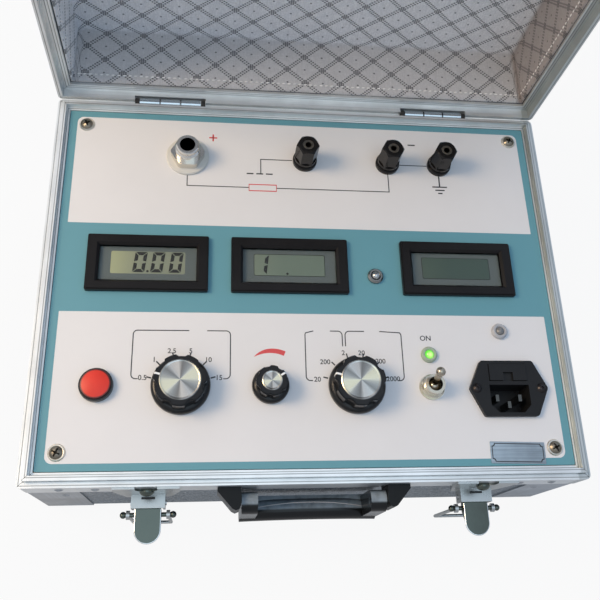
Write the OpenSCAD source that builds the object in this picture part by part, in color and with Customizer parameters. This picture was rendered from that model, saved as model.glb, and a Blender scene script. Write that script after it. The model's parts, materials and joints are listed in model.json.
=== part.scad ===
// High-voltage insulation tester in an aluminium-edged carrying case, lid open at a right angle.
// X runs to the right, Y to the hinges, Z up. The origin is the middle of the case's underside.
// Heights on the panel are measured from the flange plane, which is level with the panel's face.

/* [Case] */
// Outer width over the rims
case_w = 321; // [314:1:350]
// Outer depth over the rims
case_d = 245; // [240:1:270]
// Height of the base, from its underside to the flange plane
base_h = 86; // [78:1:110]
// Depth of the lid, from its rim plane to its outer face
lid_h = 55; // [50:1:80]
// Thickness of the board walls
wall_t = 5.6; // [4.6:0.2:7]
// Thickness of the floor board and of the lid's top board
floor_t = 4; // [3:0.5:7]
// Radius of the outer upright corners
corner_r = 3; // [2.4:0.2:6]
// Diameter of a rubber foot
foot_d = 20; // [14:1:30]
// Height of a rubber foot
foot_h = 5; // [3:0.5:10]
// Distance of the feet from the outer faces
foot_inset = 27; // [20:1:45]

/* [Rims] */
// Thickness of the aluminium edge sections
edge_t = 1.2; // [0.8:0.1:1.6]
// Height of the rim's legs on the walls
leg_h = 18; // [14:1:24]
// Thickness of the rim's web over the edge of the wall
web_t = 2; // [1.5:0.1:3]
// Width of the outer flange
flange_w = 3; // [2.4:0.1:3.6]
// Width of the groove between the flange and the tongue
groove_w = 0.35; // [0.3:0.05:0.6]
// Depth of that groove
groove_d = 1; // [0.6:0.1:1.4]
// Thickness of the tongue that the lid closes over
tongue_t = 2.6; // [1.6:0.1:3]
// Height of the tongue above the flange plane
tongue_h = 4; // [3:0.5:5]
// Room above the tongue in the lid's rim
step_clear = 2; // [1:0.5:4]
// Gap between the two rims when the lid is shut
rim_gap = 0.3; // [0.2:0.1:0.8]
// Width of the saw cut left at each mitred corner
mitre_gap = 0.2; // [0.1:0.05:0.4]
// Width of the corner angles on each wall
angle_w = 30; // [22:1:36]
// Thickness of the corner angles
angle_t = 0.8; // [0.6:0.1:1.2]
// Diameter of a rivet head
rivet_d = 5; // [4:0.2:6]
// Height of a rivet head
rivet_h = 0.9; // [0.6:0.1:1.4]
// Thickness of the lid's cloth lining on its card
lining_t = 1.5; // [1:0.1:3]

/* [Hinges] */
// Distance of each hinge from the middle
hinge_x = 89; // [75:1:105]
// Length of a hinge barrel
hinge_l = 39.5; // [32:0.5:46]
// Outer diameter of the barrel
barrel_d = 6; // [5:0.2:7]
// Diameter of the hinge pin
hinge_pin_d = 2.6; // [2:0.1:3.2]
// Gap between neighbouring knuckles
knuckle_gap = 0.3; // [0.2:0.1:0.6]
// Room round a barrel in the notches of the rims
notch_clear = 0.3; // [0.25:0.05:0.6]
// Room past each end of a barrel in the notches
notch_end = 3.2; // [1:0.2:5]
// Thickness of a hinge leaf
leaf_t = 1.2; // [0.9:0.1:1.8]
// Angle that the lid stands open at
lid_open = 90; // [90]

/* [Latches] */
// Distance of each latch from the middle
latch_x = 96; // [88:1:110]
// Shift of both latches to the right of the middle
latch_shift = 3; // [0:0.5:5]
// Width of the latch plate
plate_w = 36; // [32:1:42]
// Thickness of the latch plate
plate_t = 1.2; // [1:0.1:2]
// Width of the notch in the plate's upper edge
plate_notch_w = 12; // [8:1:16]
// Width of the hood over the lever's root
hood_w = 19; // [18:0.5:24]
// Reach of the hood in front of the rim
hood_out = 8.5; // [8:0.5:12]
// Drop of the hood's top below the flange plane
hood_drop = 25; // [22:1:32]
// Sheet thickness of the hood
hood_t = 1.2; // [0.8:0.1:1.6]
// Width of the lever
lever_w = 14; // [12:0.5:15]
// Length of the lever from its pivot to its end
lever_l = 22; // [18:1:28]
// Sheet thickness of the lever
lever_t = 1.4; // [1:0.1:2]
// Depth of the lever's side flanges
lever_flange = 6; // [5:0.2:7]
// Diameter of the lever's pivot pin
lever_pin_d = 3; // [2:0.1:3.4]
// Distance from the pivot to the bail's pin
bail_offset = 6.5; // [5.5:0.5:8]
// Diameter of the bail's pin
bail_pin_d = 2.6; // [2:0.1:3]
// Diameter of the bail's wire
bail_wire_d = 2; // [1.6:0.1:2.4]
// Distance between the middles of the bail's legs
bail_w = 22.5; // [22:0.5:26]
// Length of the bail from its pin to its bar
bail_l = 46; // [44:1:50]

/* [Handle] */
// Width over the two arms of the handle
handle_w = 82; // [76:1:100]
// Drop of the handle's pivots below the flange plane
handle_drop = 15; // [12:1:20]
// Distance from the pivots to the middle of the grip
grip_drop = 33; // [30:1:36]
// Thickness of the grip, front to back
grip_t = 14; // [10:0.5:16]
// Thickness of the grip's flat shelf
shelf_h = 10; // [8:0.5:11]
// Diameter of the bar along the front of the grip
bar_d = 12; // [10:0.5:12]
// Rise of the bar's middle above its ends
grip_bow = 6; // [2:0.5:8]
// Width of an arm
arm_w = 9; // [7:0.5:12]
// Diameter of the handle's pins
handle_pin_d = 4; // [3:0.2:5]
// Width of a bracket
bracket_w = 13; // [10:1:18]
// Gap between the folded handle and the case
handle_gap = 1; // [0.6:0.1:2]

/* [Panel] */
// Thickness of the panel
panel_t = 2; // [1.5:0.1:3]
// Gap round the panel
panel_gap = 0.4; // [0.3:0.1:0.8]
// Side of the corner blocks under the panel
block_w = 22; // [18:1:26]
// Height of those blocks
block_h = 20; // [14:1:30]
// Distance of the panel screws from the panel's ends
screw_inset_x = 11; // [9:0.5:13]
// Distance of the panel screws from its front and back edges
screw_inset_y = 10; // [9:0.5:13]
// Thread diameter of the panel screws
screw_d = 4; // [3:0.5:5]
// Height of the upper row above the panel's middle
upper_y = 82.8; // [79:0.2:86]
// Height of the row of meters above the panel's middle
meter_y = 7.5; // [5:0.5:10]
// Height of the row of controls, below the panel's middle
control_y = -67.3; // [-70:0.1:-65]

/* [High-voltage socket] */
// Place of the socket across the panel
socket_x = -76.5; // [-80:0.5:-70]
// Diameter of the bore that takes the plug
socket_bore_d = 9.3; // [8:0.1:10]
// Diameter of the barrel
socket_d = 16; // [14.5:0.5:18]
// Diameter of the ring at the barrel's mouth
socket_lip_d = 14; // [12.5:0.5:14.4]
// Height of the mouth above the panel
socket_h = 15.4; // [14:0.2:20]
// Depth of the bore below the mouth
socket_depth = 20; // [16:1:24]
// Nut width across its flats
socket_nut = 19; // [19:0.5:22]
// Diameter of the white insulating washer
washer_d = 27; // [24:0.5:30]
// Thickness of the white washer
washer_t = 2; // [1:0.1:3]

/* [Binding posts] */
// Place of the guard post across the panel
guard_x = -0.9; // [-5:0.1:5]
// Place of the negative post across the panel
minus_x = 54.3; // [50:0.1:58]
// Place of the earth post across the panel
earth_x = 89.4; // [86:0.1:94]
// Height of a post above the panel
post_h = 21; // [18:0.5:24]
// Diameter of its fixed flange
post_flange_d = 15.8; // [15:0.2:18]
// Height of its fixed flange
post_flange_h = 3; // [2:0.5:4]
// Width of the cap across its flats
cap_af = 12.8; // [11:0.2:13.6]
// Diameter of the metal stem
stem_d = 7; // [6:0.2:7.6]
// Diameter of the test-plug bore
plug_d = 4; // [3.9:0.1:4.4]
// Depth of the test-plug bore
plug_depth = 16; // [12:1:18]
// Radial play between a cap and its stem
cap_play = 0.08; // [0.05:0.01:0.1]

/* [Meters] */
// Width of a meter's bezel
meter_w = 72; // [70:0.5:74]
// Height of a meter's bezel, up the panel
meter_d = 36; // [34:0.5:40]
// Rise of the bezel above the panel
bezel_h = 3.5; // [3:0.1:5]
// Width of the window in a bezel
window_w = 57.6; // [50:0.2:60]
// Height of the window in a bezel
window_d = 22.5; // [18:0.5:24]
// Width of the bevel round the window
window_bevel = 1.5; // [0.8:0.1:2]
// Depth of a meter's case behind the panel
meter_depth = 24; // [20:1:30]
// Wall thickness of a meter's case
meter_wall = 1.5; // [1.2:0.1:2]
// Place of the left meter across the panel
meter_left_x = -98; // [-100:0.5:-94]
// Place of the middle meter across the panel
meter_mid_x = -12.3; // [-16:0.1:-8]
// Place of the right meter across the panel
meter_right_x = 93.7; // [90:0.1:98]

/* [Rotary controls] */
// Place of the voltage selector across the panel
voltage_x = -76.2; // [-79:0.1:-74]
// Place of the voltage adjuster across the panel
adjust_x = -25.1; // [-28:0.1:-22]
// Place of the resistance selector across the panel
ohms_x = 25.4; // [22:0.1:28]
// Diameter of a selector knob's skirt
knob_d = 33.6; // [30:0.2:36]
// Height of a selector knob above the panel
knob_h = 14.5; // [13:0.5:18]
// Diameter of the metal disc in a selector knob
disc_d = 23; // [18:0.5:24]
// Diameter of the adjuster's skirt
small_knob_d = 21.6; // [20:0.2:24]
// Height of the adjuster's knob above the panel
small_knob_h = 13; // [12:0.5:16]
// Diameter of the metal disc in the adjuster's knob
small_disc_d = 11.5; // [9:0.5:12.5]
// Gap between a knob and the panel
knob_gap = 0.6; // [0.4:0.1:1]
// Diameter of the spindles
spindle_d = 6; // [5:0.1:6.4]
// Diameter of the threaded bushes round the spindles
bush_d = 9.4; // [9:0.1:10.4]
// Radial play of a spindle in its bush
spindle_play = 0.05; // [0.03:0.01:0.1]
// Diameter of a selector's switch body
switch_d = 32; // [26:1:36]
// Depth of a selector's switch body
switch_h = 22; // [16:1:28]
// Diameter of the adjuster's body
pot_d = 24; // [18:1:28]
// Depth of the adjuster's body
pot_h = 14; // [10:1:20]

/* [Switches and lamps] */
// Place of the toggle switch across the panel
toggle_x = 70.5; // [66:0.5:75]
// Diameter of the toggle's threaded bush
toggle_bush_d = 11.8; // [11:0.2:12.4]
// Height of the toggle's bush above the panel
toggle_bush_h = 9; // [7:0.5:12]
// Length of the toggle's lever above its ball joint
toggle_l = 17; // [14:0.5:20]
// Lean of the toggle's lever at each end of its travel
toggle_lean = 13; // [9:1:14]
// Place of the test button across the panel
test_x = -122.9; // [-124:0.1:-120]
// Outer diameter of the test button's ring
test_ring_d = 18.8; // [18:0.2:22]
// Height of the test button's ring
test_ring_h = 4; // [3.6:0.2:6]
// Rise of the red cap above its ring
test_rise = 2.2; // [2:0.1:3]
// Travel of the test button
test_travel = 2.4; // [1.5:0.1:2.6]
// Diameter of the test button's body behind the panel
test_body_d = 16; // [14:0.5:16.5]
// Height of the lamp above the panel's middle, beside the toggle (downwards is negative)
power_y = -48.5; // [-50:0.5:-46]
// Place of the charger lamp across the panel
charger_x = 116.5; // [112:0.5:120]
// Height of the charger lamp above the panel's middle
charger_y = -33.4; // [-36:0.2:-30]
// Place of the hold button across the panel
hold_x = 41; // [39:0.5:43]
// Height of the hold button above the panel's middle
hold_y = 1.9; // [-2:0.1:6]
// Outer diameter of a lamp's ring
ring_d = 9.8; // [9:0.1:11]
// Height of a lamp's ring
ring_h = 2.4; // [1.8:0.1:3.5]
// Diameter of a lamp's lens
lens_d = 5.2; // [4.6:0.1:6]
// Travel of the hold button
hold_travel = 1.2; // [0.8:0.1:1.6]

/* [Mains inlet] */
// Place of the inlet across the panel
inlet_x = 117.2; // [114:0.2:120]
// Height of the inlet above the panel's middle
inlet_y = -69.4; // [-72:0.2:-68]
// Width of the inlet's flange over its side corners
inlet_w = 48; // [47:0.5:52]
// Height of the inlet's flange
inlet_d = 33.6; // [33:0.2:36]
// Width of the flange's upper and lower edges
inlet_flat = 30; // [26:0.5:32]
// Thickness of the flange
inlet_t = 3; // [2:0.2:4]
// Width of the socket recess
recess_w = 24.4; // [24:0.1:25]
// Height of the socket recess
recess_d = 16.6; // [16.2:0.1:17]
// Depth of the socket recess
recess_depth = 16; // [15:0.5:18]
// Distance between the outer blades
blade_pitch = 14; // [14]
// Distance between the flange screws
inlet_screw_pitch = 40; // [39:0.1:41]
// Travel of the fuse drawer
drawer_travel = 20; // [14:1:22]

/* [Hidden] */
$fn = 48;

rim_w = wall_t + 2 * edge_t;
step_d = tongue_h + step_clear;
panel_w = case_w - 2 * (rim_w + panel_gap);
panel_d = case_d - 2 * (rim_w + panel_gap);
front_y = -case_d / 2;
back_y = case_d / 2;
sheet_y = front_y + edge_t;
hinge_z = base_h + rim_gap / 2;
knuckle_l = (hinge_l - 2 * knuckle_gap) / 3;
leaf_h = leg_h - 1;
pivot_in = 3.5;
pivot_y = front_y - hood_out + pivot_in;
pivot_drop = hood_t + 5.3;
pivot_z = base_h - hood_drop - pivot_drop;
// The lower corner of the hood's cheeks stays inside the path of the bail's pin
hood_h = pivot_drop + sqrt(pow(bail_offset - bail_pin_d / 2 - 0.4, 2) - pow(pivot_in, 2));
plate_shoulder = 12;
plate_foot_w = hood_w + 6;
plate_notch_drop = 4;
bail_eye_d = bail_pin_d + 2.4;
// Height of the bail's bar above the flange plane when the latch is shut
hook_z = pivot_z - bail_offset + bail_l - base_h;
handle_y = front_y - handle_gap - grip_t / 2;
handle_z = base_h - handle_drop;
bevel_slope = 1;
inlet_body_w = recess_w + 2.4;
inlet_body_d = inlet_d - 2.2;
recess_y = -inlet_d / 2 + 2.2 + recess_d / 2;
drawer_w = recess_w - 1.4;
drawer_d = inlet_d - recess_d - 2 * 2.2 - 2.6;
drawer_y = inlet_d / 2 - 2.2 - drawer_d / 2;
drawer_depth = 24;
SIDES = [-1, 1];
KNUCKLE_RUN = 0.05;
FLUTES = 7;
// Angles of the knobs' pointer lobes, counter-clockwise from the panel's right
SELECTOR_TURN = 165;
ADJUST_TURN = 30;
// Drop of the rivets below the rim plane: on the rims, beside them and on the corner angles
rivet_drop = 8;
rivet_beside_drop = 9;
rivet_angle_drop = leg_h + 16;
rivet_step = 19;
liner_d = socket_bore_d - 2.4;
liner_h = 6;
toggle_y = control_y - 0.9;
toggle_body = [16, 28, 22];
// Inner units, in shares of the case: middle, size and height
board_at = [-0.19 * case_w, 0.16 * case_d];
board = [0.47 * case_w, 0.37 * case_d];
module_at = [0.265 * case_w, 0.225 * case_d];
module_size = [0.28 * case_w, 0.3 * case_d, 0.44 * base_h];
battery_at = [-0.125 * case_w, -0.245 * case_d];
battery_size = [0.42 * case_w, 0.25 * case_d, 0.52 * base_h];

// Flat shape with four rounded corners
module outline(w, d, r) {
    square([w - 2 * r, d], center = true);
    square([w, d - 2 * r], center = true);
    for (x = SIDES, y = SIDES)
        translate([x * (w / 2 - r), y * (d / 2 - r)])
            circle(r);
}

// Upright-walled ring that follows the case's outline between two distances from its outer face
module band(from, to, low, high) {
    translate([0, 0, low])
        linear_extrude(high - low)
            difference() {
                outline(case_w - 2 * from, case_d - 2 * from, max(corner_r - from, 0.5));
                outline(case_w - 2 * to, case_d - 2 * to, max(corner_r - to, 0.5));
            }
}

// Thin saw cuts along the four mitres
module mitres(depth, rise) {
    for (x = SIDES, y = SIDES)
        translate([x * (case_w / 2), y * (case_d / 2), (rise - depth) / 2])
            rotate(x * y * 45)
                cube([4 * rim_w, mitre_gap, depth + rise], center = true);
}

// Room for the hinge barrels in a rim whose hinged edge is at +Y
module hinge_notches() {
    reach = barrel_d / 2 + notch_clear;
    for (x = SIDES)
        translate([x * hinge_x, case_d / 2, 0])
            translate([-hinge_l / 2 - notch_end, -reach, -reach])
                cube([hinge_l + 2 * notch_end, 2 * reach, 4 * reach]);
}

// Board box, open upwards, with its rim plane at z = 0
module board_box(height, drop) {
    translate([0, 0, -height])
        difference() {
            linear_extrude(height - drop)
                outline(case_w - 2 * edge_t, case_d - 2 * edge_t, max(corner_r - edge_t, 0.5));
            translate([0, 0, floor_t])
                linear_extrude(height)
                    outline(case_w - 2 * (edge_t + wall_t), case_d - 2 * (edge_t + wall_t), 1);
        }
}

// Domed rivet head that stands on the XY plane
module rivet(d = rivet_d, h = rivet_h) {
    ball = (d * d / 4 + h * h) / (2 * h);
    intersection() {
        translate([0, 0, h - ball])
            sphere(ball);
        cylinder(h = h, d = d);
    }
}

// Corner angles and rivets of a case half whose rim plane is at z = 0
module angles_and_rivets(height) {
    edge_in = angle_w - (rivet_d + 4);
    intersection() {
        band(edge_t - angle_t, edge_t, -height, -leg_h - 0.2);
        for (x = SIDES, y = SIDES)
            translate([x * case_w / 2, y * case_d / 2, -height / 2])
                cube([2 * angle_w, 2 * angle_w, 2 * height], center = true);
    }
    for (x = SIDES, side = SIDES) {
        face_rivets(x * (case_w / 2 - edge_in), side, -rivet_drop, 0);
        face_rivets(x * (case_w / 2 - edge_in), side, -rivet_angle_drop, edge_t - angle_t);
        end_rivets(x * (case_d / 2 - edge_in), side, -rivet_drop, 0);
        end_rivets(x * (case_d / 2 - edge_in), side, -rivet_angle_drop, edge_t - angle_t);
        face_rivets(x * (case_w / 2 - edge_in - rivet_step), side, -rivet_beside_drop, 0);
        end_rivets(x * case_d / 6, side, -rivet_beside_drop, 0);
    }
}

module face_rivets(x, side, z, inset) {
    translate([x, side * (case_d / 2 - inset), z])
        rotate([-side * 90, 0, 0])
            rivet();
}

module end_rivets(y, side, z, inset) {
    translate([side * (case_w / 2 - inset), y, z])
        rotate([0, side * 90, 0])
            rivet();
}

module base_shell() {
    color("slategray")
        translate([0, 0, base_h])
            difference() {
                board_box(base_h, web_t);
                hinge_notches();
            }
}

module base_rim() {
    color("silver")
        translate([0, 0, base_h])
            difference() {
                union() {
                    band(0, edge_t, -leg_h, 0);
                    band(0, rim_w, -web_t, 0);
                    band(rim_w - edge_t, rim_w, -leg_h, 0);
                    band(flange_w + groove_w, flange_w + groove_w + tongue_t, -web_t, tongue_h);
                }
                band(flange_w, flange_w + groove_w, -groove_d, tongue_h);
                mitres(leg_h + 1, tongue_h + 1);
                hinge_notches();
            }
}

module base_corner_angles() {
    color("lightgray")
        translate([0, 0, base_h])
            angles_and_rivets(base_h);
}

module feet() {
    color("black")
        for (x = SIDES, y = SIDES)
            translate([x * (case_w / 2 - foot_inset), y * (case_d / 2 - foot_inset), -foot_h])
                rotate_extrude()
                    polygon([
                        [0, 0], [foot_d / 2 - 1.5, 0], [foot_d / 2 - 0.8, 0.5],
                        [foot_d / 2, foot_h], [0, foot_h]
                    ]);
}

// One knuckle, centred on x, with its bore for the pin
module knuckle(x, play) {
    translate([x - knuckle_l / 2, 0, 0])
        rotate([0, 90, 0])
            difference() {
                cylinder(h = knuckle_l, d = barrel_d);
                translate([0, 0, -1])
                    cylinder(h = knuckle_l + 2, d = hinge_pin_d + 2 * play);
            }
}

// Hinge leaf below the axis on the outer face of a rim at y = 0, with knuckles at the places given
module leaf(places, play) {
    clear = barrel_d / 2 + knuckle_gap;
    for (x = places)
        knuckle(x, play);
    difference() {
        union() {
            translate([-hinge_l / 2, 0, -leaf_h])
                cube([hinge_l, leaf_t, leaf_h - clear]);
            for (x = places)
                translate([x - knuckle_l / 2, 0, -clear - 0.5])
                    cube([knuckle_l, leaf_t, clear + 0.5]);
        }
        rotate([0, 90, 0])
            cylinder(h = 2 * hinge_l, d = hinge_pin_d + 2 * play, center = true);
    }
    for (x = [-hinge_l / 3, 0, hinge_l / 3])
        translate([x, leaf_t, -(leaf_h + clear) / 2])
            rotate([-90, 0, 0])
                rivet(rivet_d * 0.8, rivet_h);
}

module hinge_base_leaves() {
    color("gainsboro")
        for (x = SIDES)
            translate([x * hinge_x, back_y, hinge_z])
                leaf([0], 0);
}

module hinge_lid_leaves() {
    step = knuckle_l + knuckle_gap;
    color("silver")
        for (x = SIDES)
            translate([x * hinge_x, back_y, hinge_z])
                rotate([-lid_open, 0, 0])
                    mirror([0, 0, 1])
                        leaf([-step, step], KNUCKLE_RUN);
}

// All fixed pins: through the hinges, the latch hoods and the handle's brackets
module pivot_pins() {
    color("lightsteelblue")
        for (x = SIDES) {
            translate([x * hinge_x, back_y, hinge_z])
                rotate([0, 90, 0])
                    cylinder(h = hinge_l, d = hinge_pin_d, center = true);
            translate([x * latch_x + latch_shift, pivot_y, pivot_z])
                rotate([0, 90, 0])
                    cylinder(h = hood_w + 1.2, d = lever_pin_d, center = true);
            translate([x * (handle_w / 2 + (bracket_w * 0.55 - arm_w) / 2), handle_y, handle_z])
                rotate([0, 90, 0])
                    cylinder(h = arm_w + bracket_w * 0.55, d = handle_pin_d, center = true);
        }
}

// Latch plate and hood, centred on x = 0
module latch_housing() {
    top = base_h - 1;
    low = base_h - hood_drop - hood_h;
    difference() {
        union() {
            translate([0, front_y, 0])
                rotate([90, 0, 0])
                    linear_extrude(plate_t)
                        latch_plate_outline(top, low);
            translate([0, sheet_y, 0])
                rotate([90, 0, 0])
                    linear_extrude(edge_t)
                        intersection() {
                            latch_plate_outline(top, low);
                            translate([-plate_w, low - 1])
                                square([2 * plate_w, base_h - leg_h - 0.2 - low + 1]);
                        }
            translate([-hood_w / 2, front_y - hood_out, low])
                cube([hood_w, hood_out, hood_h]);
        }
        translate([-hood_w / 2 + hood_t, front_y - hood_out - 1, low - 1])
            cube([hood_w - 2 * hood_t, hood_out + 1 - plate_t, hood_h - hood_t + 1]);
        translate([-hood_w, pivot_y, pivot_z])
            rotate([0, 90, 0])
                cylinder(h = 2 * hood_w, d = lever_pin_d);
    }
    translate([-hood_w / 2, front_y - hood_out, base_h - hood_drop - hood_t - 1])
        cube([hood_w, hood_t, 1 + hood_t / 2]);
}

module latch_plate_outline(top, low) {
    difference() {
        polygon([
            [-plate_w / 2, top], [plate_w / 2, top], [plate_w / 2, top - plate_shoulder],
            [plate_foot_w / 2, low], [-plate_foot_w / 2, low],
            [-plate_w / 2, top - plate_shoulder]
        ]);
        translate([0, top - plate_notch_drop])
            circle(d = plate_notch_w);
        translate([-plate_notch_w / 2, top - plate_notch_drop])
            square([plate_notch_w, plate_notch_drop + 1]);
    }
}

module latch_housings() {
    color("gainsboro")
        for (x = SIDES)
            translate([x * latch_x + latch_shift, 0, 0])
                latch_housing();
}

// Folded lever of channel section that points to -Y from its pivot, with the bail's pin
module latch_lever() {
    flange_x = lever_w / 2 - lever_t;
    roof = lever_pin_d / 2 + 0.9;
    translate([0, pivot_y, pivot_z])
        difference() {
            union() {
                translate([0, 0, roof])
                    linear_extrude(lever_t)
                        lever_outline();
                for (x = SIDES)
                    translate([x * (flange_x + lever_t / 2) - lever_t / 2, 0, roof + lever_t / 2])
                        rotate([90, 0, 90])
                            linear_extrude(lever_t)
                                lever_side();
                translate([0, -bail_offset, 0])
                    rotate([0, 90, 0]) {
                        cylinder(h = bail_w + 4, d = bail_pin_d, center = true);
                        for (x = SIDES)
                            translate([0, 0, x * (bail_w / 2 + 2.7)])
                                sphere(d = bail_pin_d + 1.2);
                    }
            }
            rotate([0, 90, 0])
                cylinder(h = 2 * lever_w, d = lever_pin_d + 2 * KNUCKLE_RUN, center = true);
        }
}

module lever_outline() {
    translate([-lever_w / 2, -lever_l + lever_w / 2])
        square([lever_w, lever_l - lever_w / 2 + 2]);
    translate([0, -lever_l + lever_w / 2])
        circle(d = lever_w);
}

// Side flange, in a plane whose first axis is Y and second axis is Z from the lever's roof
module lever_side() {
    polygon([
        [2, 0], [2, -lever_flange + 1], [0, -lever_flange], [-bail_offset - 2, -lever_flange],
        [-lever_l + lever_w / 2, -lever_t / 2], [-lever_l + lever_w / 2, 0]
    ]);
}

module latch_lever_left() {
    color("dimgray") translate([latch_shift - latch_x, 0, 0]) latch_lever();
}

module latch_lever_right() {
    color("dimgray") translate([latch_shift + latch_x, 0, 0]) latch_lever();
}

// Wire bail that hangs from the lever's pin: two eyes, two legs and a bar
module latch_bail() {
    translate([0, pivot_y - bail_offset, pivot_z]) {
        for (x = SIDES)
            translate([x * bail_w / 2, 0, 0]) {
                difference() {
                    union() {
                        rotate([0, 90, 0])
                            cylinder(h = bail_wire_d, d = bail_eye_d, center = true);
                        translate([0, 0, -bail_l])
                            cylinder(h = bail_l, d = bail_wire_d);
                    }
                    rotate([0, 90, 0])
                        cylinder(h = 2 * bail_wire_d, d = bail_pin_d + 2 * KNUCKLE_RUN, center = true);
                }
                translate([0, 0, -bail_l])
                    sphere(d = bail_wire_d);
            }
        translate([0, 0, -bail_l])
            rotate([0, 90, 0])
                cylinder(h = bail_w, d = bail_wire_d, center = true);
    }
}

module latch_bail_left() {
    color("silver") translate([latch_shift - latch_x, 0, 0]) latch_bail();
}

module latch_bail_right() {
    color("silver") translate([latch_shift + latch_x, 0, 0]) latch_bail();
}

// Keepers on the lid, drawn in the frame of the shut lid and swung open with it
module latch_keepers() {
    seat = hook_z - bail_wire_d / 2 - 0.3;
    lip_y = pivot_y - bail_wire_d / 2 - 0.3;
    width = bail_w - bail_wire_d - 4;
    color("gainsboro")
        shut_to_open()
            for (x = SIDES)
                translate([x * latch_x + latch_shift - width / 2, 0, base_h])
                    rotate([90, 0, 90])
                        linear_extrude(width)
                            polygon([
                                [front_y, rim_gap + 1], [front_y - plate_t, rim_gap + 1],
                                [front_y - plate_t, seat - plate_t], [lip_y - plate_t, seat - plate_t],
                                [lip_y - plate_t, seat + 2.6], [lip_y, seat + 2.6], [lip_y, seat],
                                [front_y - plate_t, seat], [front_y - plate_t, leg_h - 1],
                                [front_y, leg_h - 1]
                            ]);
}

// Swings a piece of the shut lid open about the hinges
module shut_to_open() {
    translate([0, back_y, hinge_z])
        rotate([-lid_open, 0, 0])
            translate([0, -back_y, -hinge_z])
                children();
}

// Wedge-shaped end brackets, which carry the handle's pins
module handle_brackets() {
    inner = handle_w / 2 + 0.4;
    outer = inner + bracket_w;
    nose = handle_y - handle_pin_d / 2 - 2.6;
    height = handle_pin_d + 14;
    color("black")
        for (side = SIDES)
            mirror([side < 0 ? 1 : 0, 0, 0])
                difference() {
                    union() {
                        translate([0, 0, handle_z - height / 2])
                            linear_extrude(height)
                                polygon([
                                    [inner, front_y], [inner, nose + 3], [inner + 1, nose + 0.8],
                                    [inner + 3, nose], [inner + 5, nose + 1],
                                    [outer, front_y - 2.4], [outer, front_y]
                                ]);
                        translate([inner, front_y, handle_z - height / 2])
                            cube([bracket_w, edge_t, base_h - leg_h - 0.2 - handle_z + height / 2]);
                    }
                    translate([0, handle_y, handle_z])
                        rotate([0, 90, 0])
                            cylinder(h = inner + bracket_w * 0.55 - 0.4, d = handle_pin_d);
                }
}

// Flat shelf of the grip, from its rounded nose back to the case's front
module grip_shelf() {
    top = bar_d / 2 - grip_drop;
    rotate([90, 0, 90])
        linear_extrude(handle_w, center = true) {
            translate([0, top - shelf_h / 2])
                circle(d = shelf_h);
            translate([0, top - shelf_h])
                square([grip_t / 2, shelf_h]);
        }
}

// Round bar along the front of the shelf, which rises in an arch to its middle
module grip_bar() {
    half = handle_w / 2;
    bend = (half * half + grip_bow * grip_bow) / (2 * grip_bow);
    sweep = asin(half / bend);
    intersection() {
        translate([0, (bar_d - grip_t) / 2, grip_bow - grip_drop - bend])
            rotate([90, 0, 0])
                rotate(90 - sweep - 2)
                    rotate_extrude(angle = 2 * sweep + 4, $fn = 96)
                        translate([bend, 0])
                            circle(d = bar_d, $fn = 48);
        cube([handle_w, 4 * grip_t, 4 * grip_drop], center = true);
    }
}

// Grip between two arms that turn on the brackets' pins
module handle_grip() {
    color("black")
        translate([0, handle_y, handle_z])
            difference() {
                union() {
                    grip_shelf();
                    grip_bar();
                    for (x = SIDES)
                        translate([x * (handle_w - arm_w) / 2, 0, 0])
                            rotate([0, 90, 0])
                                linear_extrude(arm_w, center = true) {
                                    circle(d = grip_t - 2);
                                    translate([0, 1 - grip_t / 2])
                                        square([grip_drop, grip_t - 2]);
                                }
                }
                rotate([0, 90, 0])
                    cylinder(h = 2 * handle_w, d = handle_pin_d + 2 * KNUCKLE_RUN, center = true);
            }
}

module on_panel(x, y) {
    translate([x, y, base_h])
        children();
}

// Hexagonal prism by its width across flats
module hex(af, h) {
    cylinder(h = h, d = af / cos(30), $fn = 6);
}

// Through holes and cut-outs of everything that the panel carries
module panel_cuts() {
    for (x = SIDES, y = SIDES)
        translate([x * (panel_w / 2 - screw_inset_x), y * (panel_d / 2 - screw_inset_y)])
            circle(d = screw_d + 0.4);
    translate([socket_x, upper_y])
        circle(d = socket_d);
    for (x = [guard_x, minus_x, earth_x])
        translate([x, upper_y])
            circle(d = stem_d + 1);
    for (x = [meter_left_x, meter_mid_x, meter_right_x])
        translate([x, meter_y])
            square([meter_w - 4, meter_d - 3], center = true);
    for (x = [voltage_x, adjust_x, ohms_x])
        translate([x, control_y])
            circle(d = bush_d);
    translate([toggle_x, toggle_y])
        circle(d = toggle_bush_d);
    translate([test_x, control_y])
        circle(d = test_body_d);
    for (place = [[toggle_x, power_y], [charger_x, charger_y], [hold_x, hold_y]])
        translate(place)
            circle(d = ring_d - 2);
    translate([inlet_x, inlet_y])
        square([inlet_body_w, inlet_body_d], center = true);
}

module front_panel() {
    color("cadetblue")
        translate([0, 0, base_h - panel_t])
            linear_extrude(panel_t)
                difference() {
                    outline(panel_w, panel_d, 1);
                    panel_cuts();
                }
}

// Corner blocks that carry the panel, seated in the corners of the rim
module panel_blocks() {
    color("burlywood")
        for (x = SIDES, y = SIDES)
            translate([
                x * (case_w / 2 - rim_w - block_w / 2), y * (case_d / 2 - rim_w - block_w / 2),
                base_h - panel_t - block_h
            ])
                difference() {
                    translate([-block_w / 2, -block_w / 2, 0])
                        cube([block_w, block_w, block_h]);
                    translate([
                        x * (block_w / 2 - panel_gap - screw_inset_x),
                        y * (block_w / 2 - panel_gap - screw_inset_y), block_h - 14
                    ])
                        cylinder(h = 20, d = screw_d);
                }
}

// Pan-head screw with a crossed slot, its head's seat at z = 0
module pan_screw(d, length) {
    head = 1.9 * d;
    difference() {
        union() {
            rivet(head, 0.55 * d);
            translate([0, 0, -length])
                cylinder(h = length + 0.01, d = d);
        }
        for (turn = [0, 90])
            rotate(turn)
                translate([-0.32 * d, -0.11 * d, 0.22 * d])
                    cube([0.64 * d, 0.22 * d, d]);
    }
}

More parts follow.
